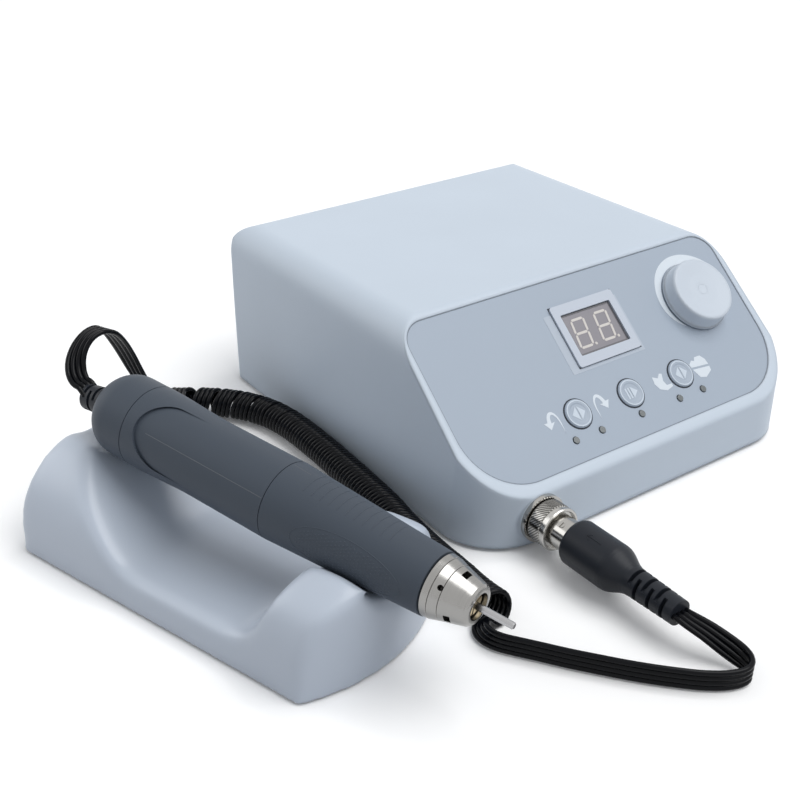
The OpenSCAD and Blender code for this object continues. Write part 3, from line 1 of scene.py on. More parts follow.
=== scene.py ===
# %% [markdown]
# # Dental laboratory micromotor set
# A control unit with a sloped panel drives a motor handpiece, which lies on a cradle with two
# horns. A flat four-core cord, curled along most of its length, joins the two. The rigid pieces
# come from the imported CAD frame, so this lesson adds the camera and light, the finishes, and the
# pieces that CAD leaves plain: the cord's cores, the soft edges of the cradle, the knurl, the
# prints and the grip's texture.

# %% Load the frame
import math
import bpy
from mathutils import Matrix, Vector


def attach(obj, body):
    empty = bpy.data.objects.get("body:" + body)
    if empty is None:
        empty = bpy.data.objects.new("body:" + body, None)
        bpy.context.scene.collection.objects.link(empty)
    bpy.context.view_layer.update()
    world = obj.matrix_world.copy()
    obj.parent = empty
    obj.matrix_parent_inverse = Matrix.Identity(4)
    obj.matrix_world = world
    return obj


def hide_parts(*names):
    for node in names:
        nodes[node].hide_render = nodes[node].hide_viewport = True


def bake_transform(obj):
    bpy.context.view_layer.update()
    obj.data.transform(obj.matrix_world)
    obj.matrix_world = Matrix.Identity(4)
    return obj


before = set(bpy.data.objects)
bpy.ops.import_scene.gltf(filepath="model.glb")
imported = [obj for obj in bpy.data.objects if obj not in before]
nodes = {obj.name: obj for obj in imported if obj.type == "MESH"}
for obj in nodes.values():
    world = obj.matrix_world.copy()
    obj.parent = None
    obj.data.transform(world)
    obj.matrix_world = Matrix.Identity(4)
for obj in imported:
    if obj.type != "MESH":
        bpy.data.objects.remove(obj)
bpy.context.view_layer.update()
bpy.context.scene.view_settings.view_transform = "Standard"

# %% [markdown]
# ## Where things are
# Sizes below are in millimetres, measured from the middle of the unit's front edge on the table.
# Three small frames carry most pieces: the sloped panel, the plug's axis and the handpiece's axis.
# Each is a matrix, so a piece is drawn flat and upright first and then stood in its place.

# %% Frames of the panel, the plug and the handpiece
MM = 0.001
MIDDLE = Vector((-64.90479113, 63.35177546, 0))
CRADLE_X, CRADLE_Y = -163, 55.6
HAND_BACK, HAND_Z = 28, 49.4
YAW, TILT = math.radians(17.3), math.radians(5.4)
FRONT_HIGH, PANEL_TILT = 21.5, math.radians(41)
FILM_MARGIN, FILM_DEPTH = 5, 0.3
PLUG_X, PLUG_Z = -59.5, 12
QUARTER = math.radians(90)


def spot(x, y, z):
    return (Vector((x, y, z)) - MIDDLE) * MM


rear_joint = spot(CRADLE_X - math.sin(YAW) * HAND_BACK, CRADLE_Y + math.cos(YAW) * HAND_BACK,
                  HAND_Z)
PANEL = (Matrix.Translation(spot(0, 0, FRONT_HIGH)) @ Matrix.Rotation(PANEL_TILT, 4, "X")
         @ Matrix.Translation((0, FILM_MARGIN * MM, -FILM_DEPTH * MM)))
PLUG = Matrix.Translation(spot(PLUG_X, 0, PLUG_Z)) @ Matrix.Rotation(QUARTER, 4, "X")
HAND = (Matrix.Translation(rear_joint) @ Matrix.Rotation(YAW, 4, "Z")
        @ Matrix.Rotation(QUARTER + TILT, 4, "X"))
print("nose points along", [round(c, 3) for c in HAND.to_3x3() @ Vector((0, 0, 1))])

# %% [markdown]
# ## Camera
# The photograph was taken from the front left, about 29 degrees above the table. The focal length
# and the place were solved from the unit's straight edges, so the camera is written down as numbers
# here.


# %% Helper: put new data into the scene
def in_scene(name, data):
    piece = bpy.data.objects.new(name, data)
    bpy.context.scene.collection.objects.link(piece)
    return piece


# %% Camera
CAMERA_AT = (-310.29, -265.11, 261.03)
VIEW_RIGHT = Vector((0.81438, -0.58031, -0.0047))
VIEW_UP = Vector((0.28428, 0.39185, 0.87501))
LENS, SENSOR = 53.65, 36
camera = in_scene("camera", bpy.data.cameras.new("camera"))
view = Matrix((VIEW_RIGHT, VIEW_UP, VIEW_RIGHT.cross(VIEW_UP))).transposed().to_4x4()
camera.matrix_world = Matrix.Translation(spot(*CAMERA_AT)) @ view
camera.data.sensor_width = SENSOR
camera.data.lens = LENS
camera.data.clip_start = 0.01
bpy.context.scene.camera = camera
print("camera stands at", [round(c, 3) for c in camera.location])

# %% [markdown]
# ## Floor and light
# The set stands on a plain white sweep. A wide soft sun from the front right gives the table, the
# top and the panel full light, a small lamp overhead adds crisp highlights, and a weak lamp from
# behind and a weak even sky fill the shaded left sides. Sky and floor turn plain white only for
# rays that come from the camera or off a shiny surface, so the white ground adds no light.


# %% Helper: a switch for rays from the camera or off a shiny surface
def seen_rays(tree):
    path = tree.nodes.new("ShaderNodeLightPath")
    shiny = tree.nodes.new("ShaderNodeMath")
    shiny.operation = "MAXIMUM"
    seen = tree.nodes.new("ShaderNodeMath")
    seen.operation = "MAXIMUM"
    tree.links.new(path.outputs["Is Glossy Ray"], shiny.inputs[0])
    tree.links.new(path.outputs["Is Transmission Ray"], shiny.inputs[1])
    tree.links.new(path.outputs["Is Camera Ray"], seen.inputs[0])
    tree.links.new(shiny.outputs[0], seen.inputs[1])
    return seen.outputs[0]


# %% Helpers: a bare material and a mix of two colours
def bare_skin(name):
    skin = bpy.data.materials.new(name)
    skin.use_nodes = True
    return skin, skin.node_tree, skin.node_tree.nodes["Principled BSDF"]


def colour_mix(tree, first, second):
    tone = tree.nodes.new("ShaderNodeMix")
    tone.data_type = "RGBA"
    tone.inputs["A"].default_value = first
    tone.inputs["B"].default_value = second
    return tone


# %% Floor
FLOOR_SIZE, FLOOR_Z = 8, -0.0002
PAPER, WHITE = (0.62, 0.63, 0.65, 1), (1, 1, 1, 1)
PAPER_GLOW = 0.05
bpy.ops.object.select_all(action="DESELECT")
bpy.ops.mesh.primitive_plane_add(size=FLOOR_SIZE, location=(0, 0, FLOOR_Z))
floor = bpy.context.object
floor.name = "floor"
paper, tree, shader = bare_skin("white_paper")
shader.inputs["Roughness"].default_value = 0.9
shader.inputs["Specular IOR Level"].default_value = 0.1
tone = colour_mix(tree, PAPER, WHITE)
glow = tree.nodes.new("ShaderNodeMath")
glow.operation = "MULTIPLY"
glow.inputs[1].default_value = PAPER_GLOW
seen = seen_rays(tree)
tree.links.new(seen, tone.inputs["Factor"])
tree.links.new(seen, glow.inputs[0])
tree.links.new(tone.outputs["Result"], shader.inputs["Base Color"])
tree.links.new(glow.outputs[0], shader.inputs["Emission Strength"])
floor.data.materials.append(paper)
print("floor laid")

# %% Sky
SKY_FILL = 0.40
world = bpy.data.worlds.new("studio")
world.use_nodes = True
bpy.context.scene.world = world
tree = world.node_tree
white = tree.nodes.new("ShaderNodeBackground")
white.inputs["Color"].default_value = WHITE
white.inputs["Strength"].default_value = 1.0
fill = tree.nodes["Background"]
fill.inputs["Color"].default_value = (0.95, 0.97, 1.0, 1)
fill.inputs["Strength"].default_value = SKY_FILL
mix = tree.nodes.new("ShaderNodeMixShader")
tree.links.new(seen_rays(tree), mix.inputs[0])
tree.links.new(fill.outputs[0], mix.inputs[1])
tree.links.new(white.outputs[0], mix.inputs[2])
tree.links.new(mix.outputs[0], tree.nodes["World Output"].inputs["Surface"])
print("sky fills at", SKY_FILL)

# %% Lamps
AIM = (0, 0, 0.03)


def lamp(name, kind, place, power):
    light = in_scene(name, bpy.data.lights.new(name, kind))
    light.data.energy = power
    light.location = place
    light.rotation_euler = (Vector(place) - Vector(AIM)).to_track_quat("Z", "Y").to_euler()
    return light.data


lamp("soft_sun", "SUN", (0.34, -0.36, 1.0), power=1.95).angle = math.radians(50)
lamp("gloss_lamp", "AREA", (0.38, 0.05, 1.05), power=0.7).size = 0.13
lamp("rear_lamp", "AREA", (-0.6, 0.7, 0.5), power=1.5).size = 0.6

# %% [markdown]
# ## Finishes
# Moulded plastic is never one flat colour: the skin has a fine spark-eroded grain, the gloss
# changes a little from place to place, and so does the tone. One helper makes that from two noises
# that read the piece's own Object coordinates, so the grain keeps its size in millimetres on every
# piece. A Bevel node can soften the look of an edge that the mould left round by a few millimetres.


# %% Helpers: a noise, and a surface whose gloss and height follow it
def tinted(colour, share):
    return tuple(min(1, c * share) for c in colour[:3]) + (1,)


def noise(tree, scale, detail):
    texture = tree.nodes.new("ShaderNodeTexNoise")
    texture.inputs["Scale"].default_value = scale
    texture.inputs["Detail"].default_value = detail
    return texture


def textured(tree, shader, texture, smoothest, roughest, strength, depth):
    gloss = tree.nodes.new("ShaderNodeMapRange")
    gloss.inputs["To Min"].default_value = smoothest
    gloss.inputs["To Max"].default_value = roughest
    bump = tree.nodes.new("ShaderNodeBump")
    bump.inputs["Strength"].default_value = strength
    bump.inputs["Distance"].default_value = depth
    tree.links.new(texture.outputs["Fac"], gloss.inputs["Value"])
    tree.links.new(gloss.outputs["Result"], shader.inputs["Roughness"])
    tree.links.new(texture.outputs["Fac"], bump.inputs["Height"])
    tree.links.new(bump.outputs["Normal"], shader.inputs["Normal"])
    return bump


# %% Helper: a moulded skin
TONE_SCALE = 25
GLOSS_SPREAD = 0.06
GRAIN_STRENGTH = 0.35


def moulded(name, colour, rough, grain=1800, depth=0.00002, drift=0.05, gloss_level=0.5,
            soft_edge=0):
    skin, tree, shader = bare_skin(name)
    place = tree.nodes.new("ShaderNodeTexCoord")
    fine = noise(tree, grain, 2)
    broad = noise(tree, TONE_SCALE, 3)
    tone = colour_mix(tree, tinted(colour, 1 - drift), tinted(colour, 1 + drift))
    tree.links.new(place.outputs["Object"], fine.inputs["Vector"])
    tree.links.new(place.outputs["Object"], broad.inputs["Vector"])
    tree.links.new(broad.outputs["Fac"], tone.inputs["Factor"])
    tree.links.new(tone.outputs["Result"], shader.inputs["Base Color"])
    bump = textured(tree, shader, fine, rough - GLOSS_SPREAD, rough + GLOSS_SPREAD, GRAIN_STRENGTH,
                    depth)
    shader.inputs["Specular IOR Level"].default_value = gloss_level
    if soft_edge:
        rounded = tree.nodes.new("ShaderNodeBevel")
        rounded.samples = 6
        rounded.inputs["Radius"].default_value = soft_edge * MM
        tree.links.new(rounded.outputs["Normal"], bump.inputs["Normal"])
    return skin


# %% Plastic finishes
case_skin = moulded("case_plastic", (0.542, 0.615, 0.70), 0.45, drift=0.03, soft_edge=2.6)
cradle_skin = moulded("cradle_plastic", (0.508, 0.566, 0.652), 0.31, drift=0.03)
film_skin = moulded("panel_film", (0.345, 0.405, 0.485), 0.5, grain=2600, depth=0.00001, drift=0.02)
bezel_skin = moulded("bezel_plastic", (0.485, 0.535, 0.615), 0.42, drift=0.03)
button_skin = moulded("button_plastic", (0.35, 0.41, 0.49), 0.42, drift=0.03)
knob_skin = moulded("knob_plastic", (0.555, 0.615, 0.69), 0.4, drift=0.03, soft_edge=2.0)
white_ink = moulded("white_print", (0.66, 0.72, 0.78), 0.55, drift=0.02)
pale_ink = moulded("pale_print", (0.43, 0.485, 0.56), 0.55, drift=0.02)
mark_ink = moulded("button_print", (0.55, 0.62, 0.70), 0.5, drift=0.02)
# Painted shadow: near-black rings laid in the gaps round the display and the buttons.
painted_gap_shadow = moulded("shadow_gap", (0.03, 0.035, 0.045), 0.6, gloss_level=0.2)
grip_skin = moulded("soft_touch_slate", (0.058, 0.0715, 0.092), 0.5, grain=2400, depth=0.00003,
                    drift=0.07, gloss_level=0.22)
line_skin = moulded("parting_flash", (0.10, 0.11, 0.125), 0.5)
boot_skin = moulded("boot_rubber", (0.011, 0.0135, 0.019), 0.42, grain=1500, drift=0.12,
                    gloss_level=0.22)
cord_skin = moulded("cord_sheath", (0.003, 0.0035, 0.005), 0.18, grain=60, depth=0.000004,
                    drift=0.15, gloss_level=0.12)
foot_skin = moulded("foot_rubber", (0.03, 0.03, 0.032), 0.7)
black_skin = moulded("black_plastic", (0.02, 0.02, 0.022), 0.4)
display_skin = moulded("display_face", (0.19, 0.18, 0.205), 0.3, drift=0.03)
seam_ink = moulded("panel_seam", (0.22, 0.255, 0.305), 0.6)
# Painted shade: a dark line along the inside edge of the display window, where its bevel is shaded.
window_edge_shade = moulded("window_edge", (0.09, 0.088, 0.10), 0.4)
segment_skin = moulded("unlit_segment", (0.60, 0.57, 0.54), 0.45, drift=0.03)
lamp_skin = moulded("lamp_lens", (0.12, 0.135, 0.14), 0.25)
board_skin = moulded("solder_mask", (0.02, 0.12, 0.06), 0.35, grain=900)
tape_skin = moulded("winding_tape", (0.50, 0.36, 0.08), 0.4)
sleeve_skin = moulded("can_sleeve", (0.02, 0.03, 0.09), 0.3)
carbon_skin = moulded("carbon", (0.02, 0.02, 0.02), 0.6)
base_paint = moulded("base_paint", (0.42, 0.46, 0.50), 0.45)
print("plastic finishes made:", sum("plastic" in m.name for m in bpy.data.materials))

# %% [markdown]
# Turned metal carries fine rings round its own axis. The lines come from a noise that is stretched
# until it only changes along that axis; a Mapping node set to Texture turns row coordinates into
# the axis's own.

# %% Helper: turned metal
ROUND_SCALE = 20
LINE_DARK, LINE_PALE = 0.86, 1.08
LINE_SMOOTH, LINE_ROUGH = 0.08, 0.1
LINE_DEPTH = 0.00003


def turned(name, colour, rough, axis_frame, lines=5000, strength=0.25):
    skin, tree, shader = bare_skin(name)
    shader.inputs["Metallic"].default_value = 1.0
    place = tree.nodes.new("ShaderNodeTexCoord")
    along = tree.nodes.new("ShaderNodeMapping")
    along.vector_type = "TEXTURE"
    along.inputs["Location"].default_value = axis_frame.to_translation()
    along.inputs["Rotation"].default_value = axis_frame.to_euler()
    stretch = tree.nodes.new("ShaderNodeVectorMath")
    stretch.operation = "MULTIPLY"
    stretch.inputs[1].default_value = (ROUND_SCALE, ROUND_SCALE, lines)
    rings = noise(tree, 1, 3)
    tone = colour_mix(tree, tinted(colour, LINE_DARK), tinted(colour, LINE_PALE))
    tree.links.new(place.outputs["Object"], along.inputs["Vector"])
    tree.links.new(along.outputs["Vector"], stretch.inputs[0])
    tree.links.new(stretch.outputs["Vector"], rings.inputs["Vector"])
    tree.links.new(rings.outputs["Fac"], tone.inputs["Factor"])
    tree.links.new(tone.outputs["Result"], shader.inputs["Base Color"])
    textured(tree, shader, rings, rough - LINE_SMOOTH, rough + LINE_ROUGH, strength, LINE_DEPTH)
    return skin


# %% Metal finishes
nose_steel = turned("turned_steel", (0.33, 0.325, 0.315), 0.22, HAND)
pin_steel = turned("ground_pin", (0.42, 0.42, 0.43), 0.22, HAND, lines=3000)
jaw_brass = turned("collet_brass", (0.52, 0.43, 0.28), 0.36, HAND)
plug_nickel = turned("plug_nickel", (0.44, 0.43, 0.41), 0.16, PLUG, lines=4000, strength=0.15)
plain_steel = turned("plain_steel", (0.55, 0.55, 0.55), 0.35, Matrix.Identity(4), lines=2500)
dull_alloy = turned("dull_alloy", (0.55, 0.56, 0.57), 0.45, Matrix.Identity(4), lines=1500)
print("metal finishes made:", [m.name for m in (nose_steel, pin_steel, jaw_brass, plug_nickel)])

# %% [markdown]
# ## Dressing the CAD pieces
# A rigid piece whose solid is already right keeps its mesh and only takes a finish. The table below
# names each piece's finish once.

# %% Finishes for the CAD pieces
dressing = {
    case_skin: ["upper_case"],
    film_skin: ["front_overlay"],
    bezel_skin: ["display_bezel"],
    display_skin: ["display_module"],
    segment_skin: ["display_segments"],
    lamp_skin: ["indicator_lamps"],
    button_skin: ["direction_button", "standby_button", "mode_button"],
    knob_skin: ["speed_knob"],
    base_paint: ["base_plate"],
    foot_skin: ["rubber_feet", "cradle_pad"],
    grip_skin: ["rear_cap", "motor_case", "front_grip"],
    boot_skin: ["plug_boot", "cord_bush"],
    nose_steel: ["nose_cone", "spindle", "spindle_bearings", "motor_bearings", "spindle_housing",
                 "chuck_cam"],
    pin_steel: ["tool_shank"],
    jaw_brass: ["collet", "commutator"],
    plug_nickel: ["motor_socket", "socket_nut", "plug_shell", "plug_screw", "coupling_ring"],
    plain_steel: ["base_screws", "board_screws", "pot_shaft", "pot_nut", "foot_socket_nut", "rotor",
                  "magnets", "transformer_core"],
    dull_alloy: ["speed_pot", "heat_sink", "board_spacers", "inlet_pins"],
    board_skin: ["control_board", "driver_board"],
    black_skin: ["tact_switches", "power_inlet", "power_switch", "power_rocker", "foot_socket",
                 "plug_insert", "brush_plate"],
    tape_skin: ["transformer_winding"],
    sleeve_skin: ["smoothing_capacitors"],
    carbon_skin: ["carbon_brushes"],
    cord_skin: ["cord_lead_front", "cord_coil", "cord_lead_rear"],
    cradle_skin: ["cradle_body"],
}


def wear(piece, skin):
    if not piece.material_slots:
        piece.data.materials.append(skin)
    for slot in piece.material_slots:
        slot.material = skin


for skin, names in dressing.items():
    for name in names:
        wear(nodes[name], skin)
print("CAD pieces dressed:", sum(len(n) for n in dressing.values()), "of", len(nodes))

# %% [markdown]
# ## The cord
# The real cord is a flat ribbon of four round cores, wound into tight curls along the floor. A
# ribbon that twists can't be a plain bevelled curve, so its outline is carried along the route ring
# by ring: each ring knows where it is, which way the cord runs, and which way the ribbon's width
# points.

# %% Outline of the four cores
CORE_R = 1.0
CORE_PITCH = 1.9333


def core_arc(centre, first, last, step=30):
    return [(centre + CORE_R * math.cos(math.radians(a)), CORE_R * math.sin(math.radians(a)))
            for a in range(first, last + 1, step)]


outer, inner = 1.5 * CORE_PITCH, 0.5 * CORE_PITCH
cores = (core_arc(outer, -135, 165) + core_arc(inner, 45, 165) + core_arc(-inner, 45, 165)
         + core_arc(-outer, 45, 345) + core_arc(-inner, 225, 345) + core_arc(inner, 225, 345))
print("points round the ribbon:", len(cores))

# %% [markdown]
# The routes are those of the CAD solids, with one more point inside the handpiece's bush: a lead
# from the handpiece over the cradle's rear horn, the curls, and a lead that lies on its edge and
# turns back up into the plug. Each lead point holds its place, then the heading and the rise of the
# ribbon's width in degrees.

# %% Routes in millimetres
rear_route = [
    (-180.6, 111, 51, 17, 0), (-181.7, 115.2, 55, 17, 0), (-182.6, 118, 55.8, 7, 0),
    (-182.4, 121.4, 58, -15, 0), (-180.8, 124.4, 61.6, -42, 0), (-177.6, 126.6, 65.4, -63, 0),
    (-173.2, 128, 68.2, -74, 0), (-168.4, 129, 68.6, -71, 0), (-164, 131, 65.4, -58, 0),
    (-159.9, 134.5, 58.9, -50, 0), (-156, 138, 51, -50, 0), (-152.4, 140.6, 42.4, -56, 0),
    (-149, 142, 34.4, -63, 0), (-145.4, 143.2, 27.4, -64, 0), (-141.4, 145.4, 21.6, -57, 0),
    (-136.6, 149.4, 17, -47, 0), (-132, 154.8, 13.8, -40, 0), (-127.5, 161, 12.2, -36.5, 0),
    (-124, 166, 12, -35.5, 0)]
front_route = [
    (-101.5, -25, 1.2, -87, 0), (-104.5, -25.2, 1.5, -85, 5), (-107.5, -26.2, 2.5, -65, 25),
    (-110, -28.4, 3.6, -35, 50), (-111.3, -31.6, 4.1, -10, 72), (-111, -35.4, 4.2, 10, 85),
    (-109.4, -39, 4.2, 20, 90), (-106, -44, 4.2, 20, 90), (-102.5, -49, 4.2, 20, 90),
    (-97, -57, 4.2, 20, 90), (-91, -65, 4.2, 20, 90), (-86, -71.5, 4.2, 20, 90),
    (-81, -77.5, 4.2, 20, 90), (-76, -83, 4.2, 20, 90), (-70.5, -88.5, 4.2, 20, 90),
    (-64.5, -93, 4.2, 20, 90), (-59, -95.2, 4.2, 20, 90), (-55, -94.8, 4.2, 20, 86),
    (-52.8, -92, 4.5, 20, 78), (-52.8, -88, 5.3, 20, 62), (-54.4, -83.5, 7.2, 18, 42),
    (-56.8, -78, 9.8, 12, 20), (-58.8, -73, 11.4, 5, 6), (-59.5, -70, 12, 0, 0),
    (-59.5, -68, 12, 0, 0)]
curl_route = [
    (-124, 166), (-117, 161), (-110, 155), (-104.5, 148.5), (-100, 141), (-96.5, 131.5),
    (-94.5, 118), (-94.3, 97), (-95, 80), (-96, 62), (-97.5, 44), (-99.5, 30), (-101, 12),
    (-101.5, -5), (-102, -16), (-101.5, -25)]
print("route points:", len(rear_route), len(curl_route), len(front_route))


# %% Helper: a smooth line through points
def eased_line(points, share):
    last = len(points) - 1
    k = min(int(share * last), last - 1)
    t = share * last - k
    a, b, c, d = points[max(k - 1, 0)], points[k], points[k + 1], points[min(k + 2, last)]
    return [0.5 * (2 * q + (r - p) * t + (2 * p - 5 * q + 4 * r - s) * t * t
                   + (3 * q - p - 3 * r + s) * t ** 3)
            for p, q, r, s in zip(a, b, c, d)]


def lead_stations(route, per_point=3):
    count = (len(route) - 1) * per_point
    stations = []
    for k in range(count + 1):
        x, y, z, heading, rise = eased_line(route, k / count)
        h, r = math.radians(heading), math.radians(rise)
        wide = Vector((math.cos(h) * math.cos(r), math.sin(h) * math.cos(r), math.sin(r)))
        stations.append((Vector((x, y, z)), wide, 1.0))
    return stations


# %% [markdown]
# The curls wind left-handed round an axis that lies on the floor. They lie close, so the pitch
# grows in a bend, where the inner side would otherwise press the curls together, and along the
# first stretch, which the lead draws out. The axis is walked in small steps that add up the turns
# and the length.

# %% Walk along the axis of the curls
CURLS = 22
CURL_D = 12.8
CURL_R = 5.4
CURL_Z = 6.6
OPENING = 0.8
OPENING_RUN = 25
BEND_SPAN = 6
STEPS = 240
walk = [Vector(eased_line(curl_route, k / STEPS)) for k in range(STEPS + 1)]
runs = [0.0]
for a, b in zip(walk, walk[1:]):
    runs.append(runs[-1] + (b - a).length)


def last_step(sums, value):
    return max(i for i in range(STEPS) if sums[i] <= value or i == 0)


def axis_at(run):
    k = last_step(runs, run)
    t = (run - runs[k]) / (runs[k + 1] - runs[k])
    heading = (walk[min(k + 2, STEPS)] - walk[max(k - 1, 0)]).normalized()
    return walk[k].lerp(walk[k + 1], t), heading


def pitch_share(run):
    low, high = max(run - BEND_SPAN, 0), min(run + BEND_SPAN, runs[-1])
    bend = math.acos(min(1, axis_at(low)[1].dot(axis_at(high)[1]))) / (high - low)
    return (1 + OPENING * max(1 - run / OPENING_RUN, 0) ** 2) / (1 - CURL_D / 2 * bend)


turn_sums = [0.0]
for a, b in zip(runs, runs[1:]):
    turn_sums.append(turn_sums[-1] + (b - a) / pitch_share((a + b) / 2))
print("axis of the curls in millimetres:", round(runs[-1], 1))

# %% Curls
RINGS = 20
CLOSE_UP = 1.05
curl_stations = []
for k in range(int((CURLS + 0.5) * RINGS) + 1):
    wanted = turn_sums[-1] * k / RINGS / (CURLS + 0.5)
    j = last_step(turn_sums, wanted)
    part, whole = wanted - turn_sums[j], turn_sums[j + 1] - turn_sums[j]
    run = runs[j] + (runs[j + 1] - runs[j]) * part / whole
    middle, heading = axis_at(min(run, runs[-1]))
    turn = 2 * math.pi * k / RINGS
    flat = middle + Vector((-heading.y, heading.x)) * CURL_R * math.sin(turn)
    place = Vector((flat.x, flat.y, CURL_Z + CURL_R * math.cos(turn)))
    curl_stations.append((place, Vector((heading.x, heading.y, 0)), CLOSE_UP))
print("rings in the curls:", len(curl_stations))

# %% [markdown]
# All three stretches become one mesh tube, from the handpiece to the plug. The mesh is closed at
# both ends.

# %% One tube for the whole cord
stations = lead_stations(rear_route) + curl_stations[1:] + lead_stations(front_route)[1:]
points = [p for p, wide, width in stations]
verts, faces = [], []
for k, (p, wide, width) in enumerate(stations):
    run = (points[min(k + 1, len(points) - 1)] - points[max(k - 1, 0)]).normalized()
    across = (wide - run * wide.dot(run)).normalized()
    thick = run.cross(across)
    verts += [spot(*(p + across * u * width + thick * v)) for u, v in cores]
sides = len(cores)
for k in range(len(stations) - 1):
    for j in range(sides):
        a, b = k * sides + j, k * sides + (j + 1) % sides
        faces.append((a, b, b + sides, a + sides))
faces.append(tuple(reversed(range(sides))))
faces.append(tuple(range((len(stations) - 1) * sides, len(stations) * sides)))
mesh = bpy.data.meshes.new("curly_cord")
mesh.from_pydata(verts, [], faces)
cord = in_scene("curly_cord", mesh)
wear(cord, cord_skin)

# %% [markdown]
# The rear lead goes up with the handpiece when it is lifted, while the curls stay on the floor.
# Edges between the cores stay crisp with an angle limit.


# %% Helper: pick one piece, alone
def only(piece):
    bpy.ops.object.select_all(action="DESELECT")
    piece.select_set(True)
    bpy.context.view_layer.objects.active = piece


# %% Shade the cord and hide the CAD cord
only(cord)
bpy.ops.object.mode_set(mode="EDIT")
bpy.ops.mesh.select_all(action="SELECT")
bpy.ops.mesh.normals_make_consistent(inside=False)
bpy.ops.object.mode_set(mode="OBJECT")
bpy.ops.object.shade_smooth_by_angle(angle=math.radians(50))
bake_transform(cord)
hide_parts("cord_lead_rear", "cord_coil", "cord_lead_front")

# %% [markdown]
# ## The cradle
# The real cradle is moulded with generous soft edges where its faces meet. The solid already has
# the faces, so a copy of it is merged, rebuilt as an even net of small squares, and relaxed:
# relaxing a net rounds every edge by about the same radius, which a bevel could not do along these
# curved meeting lines. Only the outer skin is relaxed, so the foot and the inside of the wall stay.
# The front horn's near tip is eased down a few millimetres first, as on the real one.


# %% Helper: an eased step from 0 to 1
def eased(share):
    share = min(1, max(0, share))
    return share * share * (3 - 2 * share)


# %% Helper: outside radius of the handpiece along its axis
CAP_R, CASE_R, NOSE_R = 15.2, 14.1, 10.8
CAP_SLOPE = 0.08
GRIP_START, GRIP_END = 63.8, 124.5


def grip_radius(along):
    return CASE_R + (NOSE_R - CASE_R) * (along - GRIP_START) / (GRIP_END - GRIP_START)


def hand_radius(along):
    if along < GRIP_START:
        return min(CAP_R, max(CASE_R, CAP_R - CAP_SLOPE * along))
    return grip_radius(along)


# %% Net of the cradle
NET_SIZE = 0.00095
cradle = in_scene("soft_cradle", nodes["cradle_body"].data.copy())
only(cradle)
bpy.ops.object.mode_set(mode="EDIT")
bpy.ops.mesh.select_all(action="SELECT")
bpy.ops.mesh.remove_doubles(threshold=0.000002)
bpy.ops.object.mode_set(mode="OBJECT")
net = cradle.modifiers.new("net", "REMESH")
net.mode = "VOXEL"
net.voxel_size = NET_SIZE
bpy.ops.object.modifier_apply(modifier="net")
middle = sum((Vector(corner) for corner in cradle.bound_box), Vector()) / 8
print("faces in the cradle:", len(cradle.data.polygons))

# %% Ease down the front horn's near tip
HORN_START = 60
NEAR_START, NEAR_RUN = 4, 10
TIP_DROP, FRONT_DROP = 4, 2.5
FRONT_START, FRONT_RUN = 98, 10
DROP_LOW, DROP_RUN = 26, 16
to_hand = HAND.inverted()
eased_down = 0
for vert in cradle.data.vertices:
    seen = to_hand @ vert.co / MM
    if seen.z > HORN_START:
        near_side = eased((-seen.x - NEAR_START) / NEAR_RUN)
        drop = TIP_DROP + FRONT_DROP * eased((seen.z - FRONT_START) / FRONT_RUN)
        vert.co.z -= drop * MM * near_side * eased((vert.co.z / MM - DROP_LOW) / DROP_RUN)
        eased_down += 1
print("points on the front horn:", eased_down)

# %% Pick the outer skin
CHANNEL_WALL = 1.5
LEVEL = 0.03
SKIN_LOW, SKIN_RUN = 0.6, 2.5
skin_group = cradle.vertex_groups.new(name="outer_skin")
for vert in cradle.data.vertices:
    flat_out = (vert.co - middle).to_2d().dot(vert.normal.to_2d())
    seen = to_hand @ vert.co / MM
    in_channel = math.hypot(seen.x, seen.y) < hand_radius(seen.z) + CHANNEL_WALL
    outer_side = vert.normal.z > LEVEL or (vert.normal.z > -LEVEL and flat_out > 0)
    if outer_side or in_channel:
        share = min(1, max(0, (vert.co.z / MM - SKIN_LOW) / SKIN_RUN))
        skin_group.add([vert.index], share, "REPLACE")
print("group made:", skin_group.name)


# %% Helper: relax a group of points
def relax(group, rounds, sideways_only=False):
    smooth = cradle.modifiers.new(group, "SMOOTH")
    smooth.factor = 0.5
    smooth.iterations = rounds
    smooth.use_z = not sideways_only
    smooth.vertex_group = group
    bpy.ops.object.modifier_apply(modifier=smooth.name)


# %% Soft edges
relax("outer_skin", 80)
bpy.ops.object.shade_smooth()
print("top of the cradle in metres:", round(max(v.co.z for v in cradle.data.vertices), 4))

# %% [markdown]
# The net's squares leave small steps along the foot, where it runs askew to them. They are evened
# out sideways only, so the foot stays flat on the table.

# %% Even foot
FOOT_HIGH = 3.5
foot_group = cradle.vertex_groups.new(name="foot")
foot_group.add([v.index for v in cradle.data.vertices if v.co.z < FOOT_HIGH * MM], 1, "REPLACE")
relax("foot", 16, sideways_only=True)
print("lowest point of the cradle in metres:", round(min(v.co.z for v in cradle.data.vertices), 5))

# %% [markdown]
# Relaxing also fills a hollow a little, and the channel has to stay clear of the handpiece. So any
# point that came too near is moved straight out from the handpiece's axis, until a small gap is
# left.

# %% Keep the channel clear
CHANNEL_REAR, CHANNEL_FRONT = -22, 125


def keep_clear(gap):
    moved_out = 0
    for vert in cradle.data.vertices:
        seen = to_hand @ vert.co / MM
        radius = math.hypot(seen.x, seen.y)
        wanted = hand_radius(seen.z) + gap
        if radius < wanted and CHANNEL_REAR < seen.z < CHANNEL_FRONT:
            seen.x *= wanted / radius
            seen.y *= wanted / radius
            vert.co = HAND @ (seen * MM)
            moved_out += 1
    return moved_out


print("points moved clear of the handpiece:", keep_clear(gap=0.55))
relax("outer_skin", 40)
print("points moved once more:", keep_clear(gap=0.3))

# %% Dress the cradle
wear(cradle, cradle_skin)
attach(cradle, "set")
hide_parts("cradle_body")
print("cradle rides with the set")
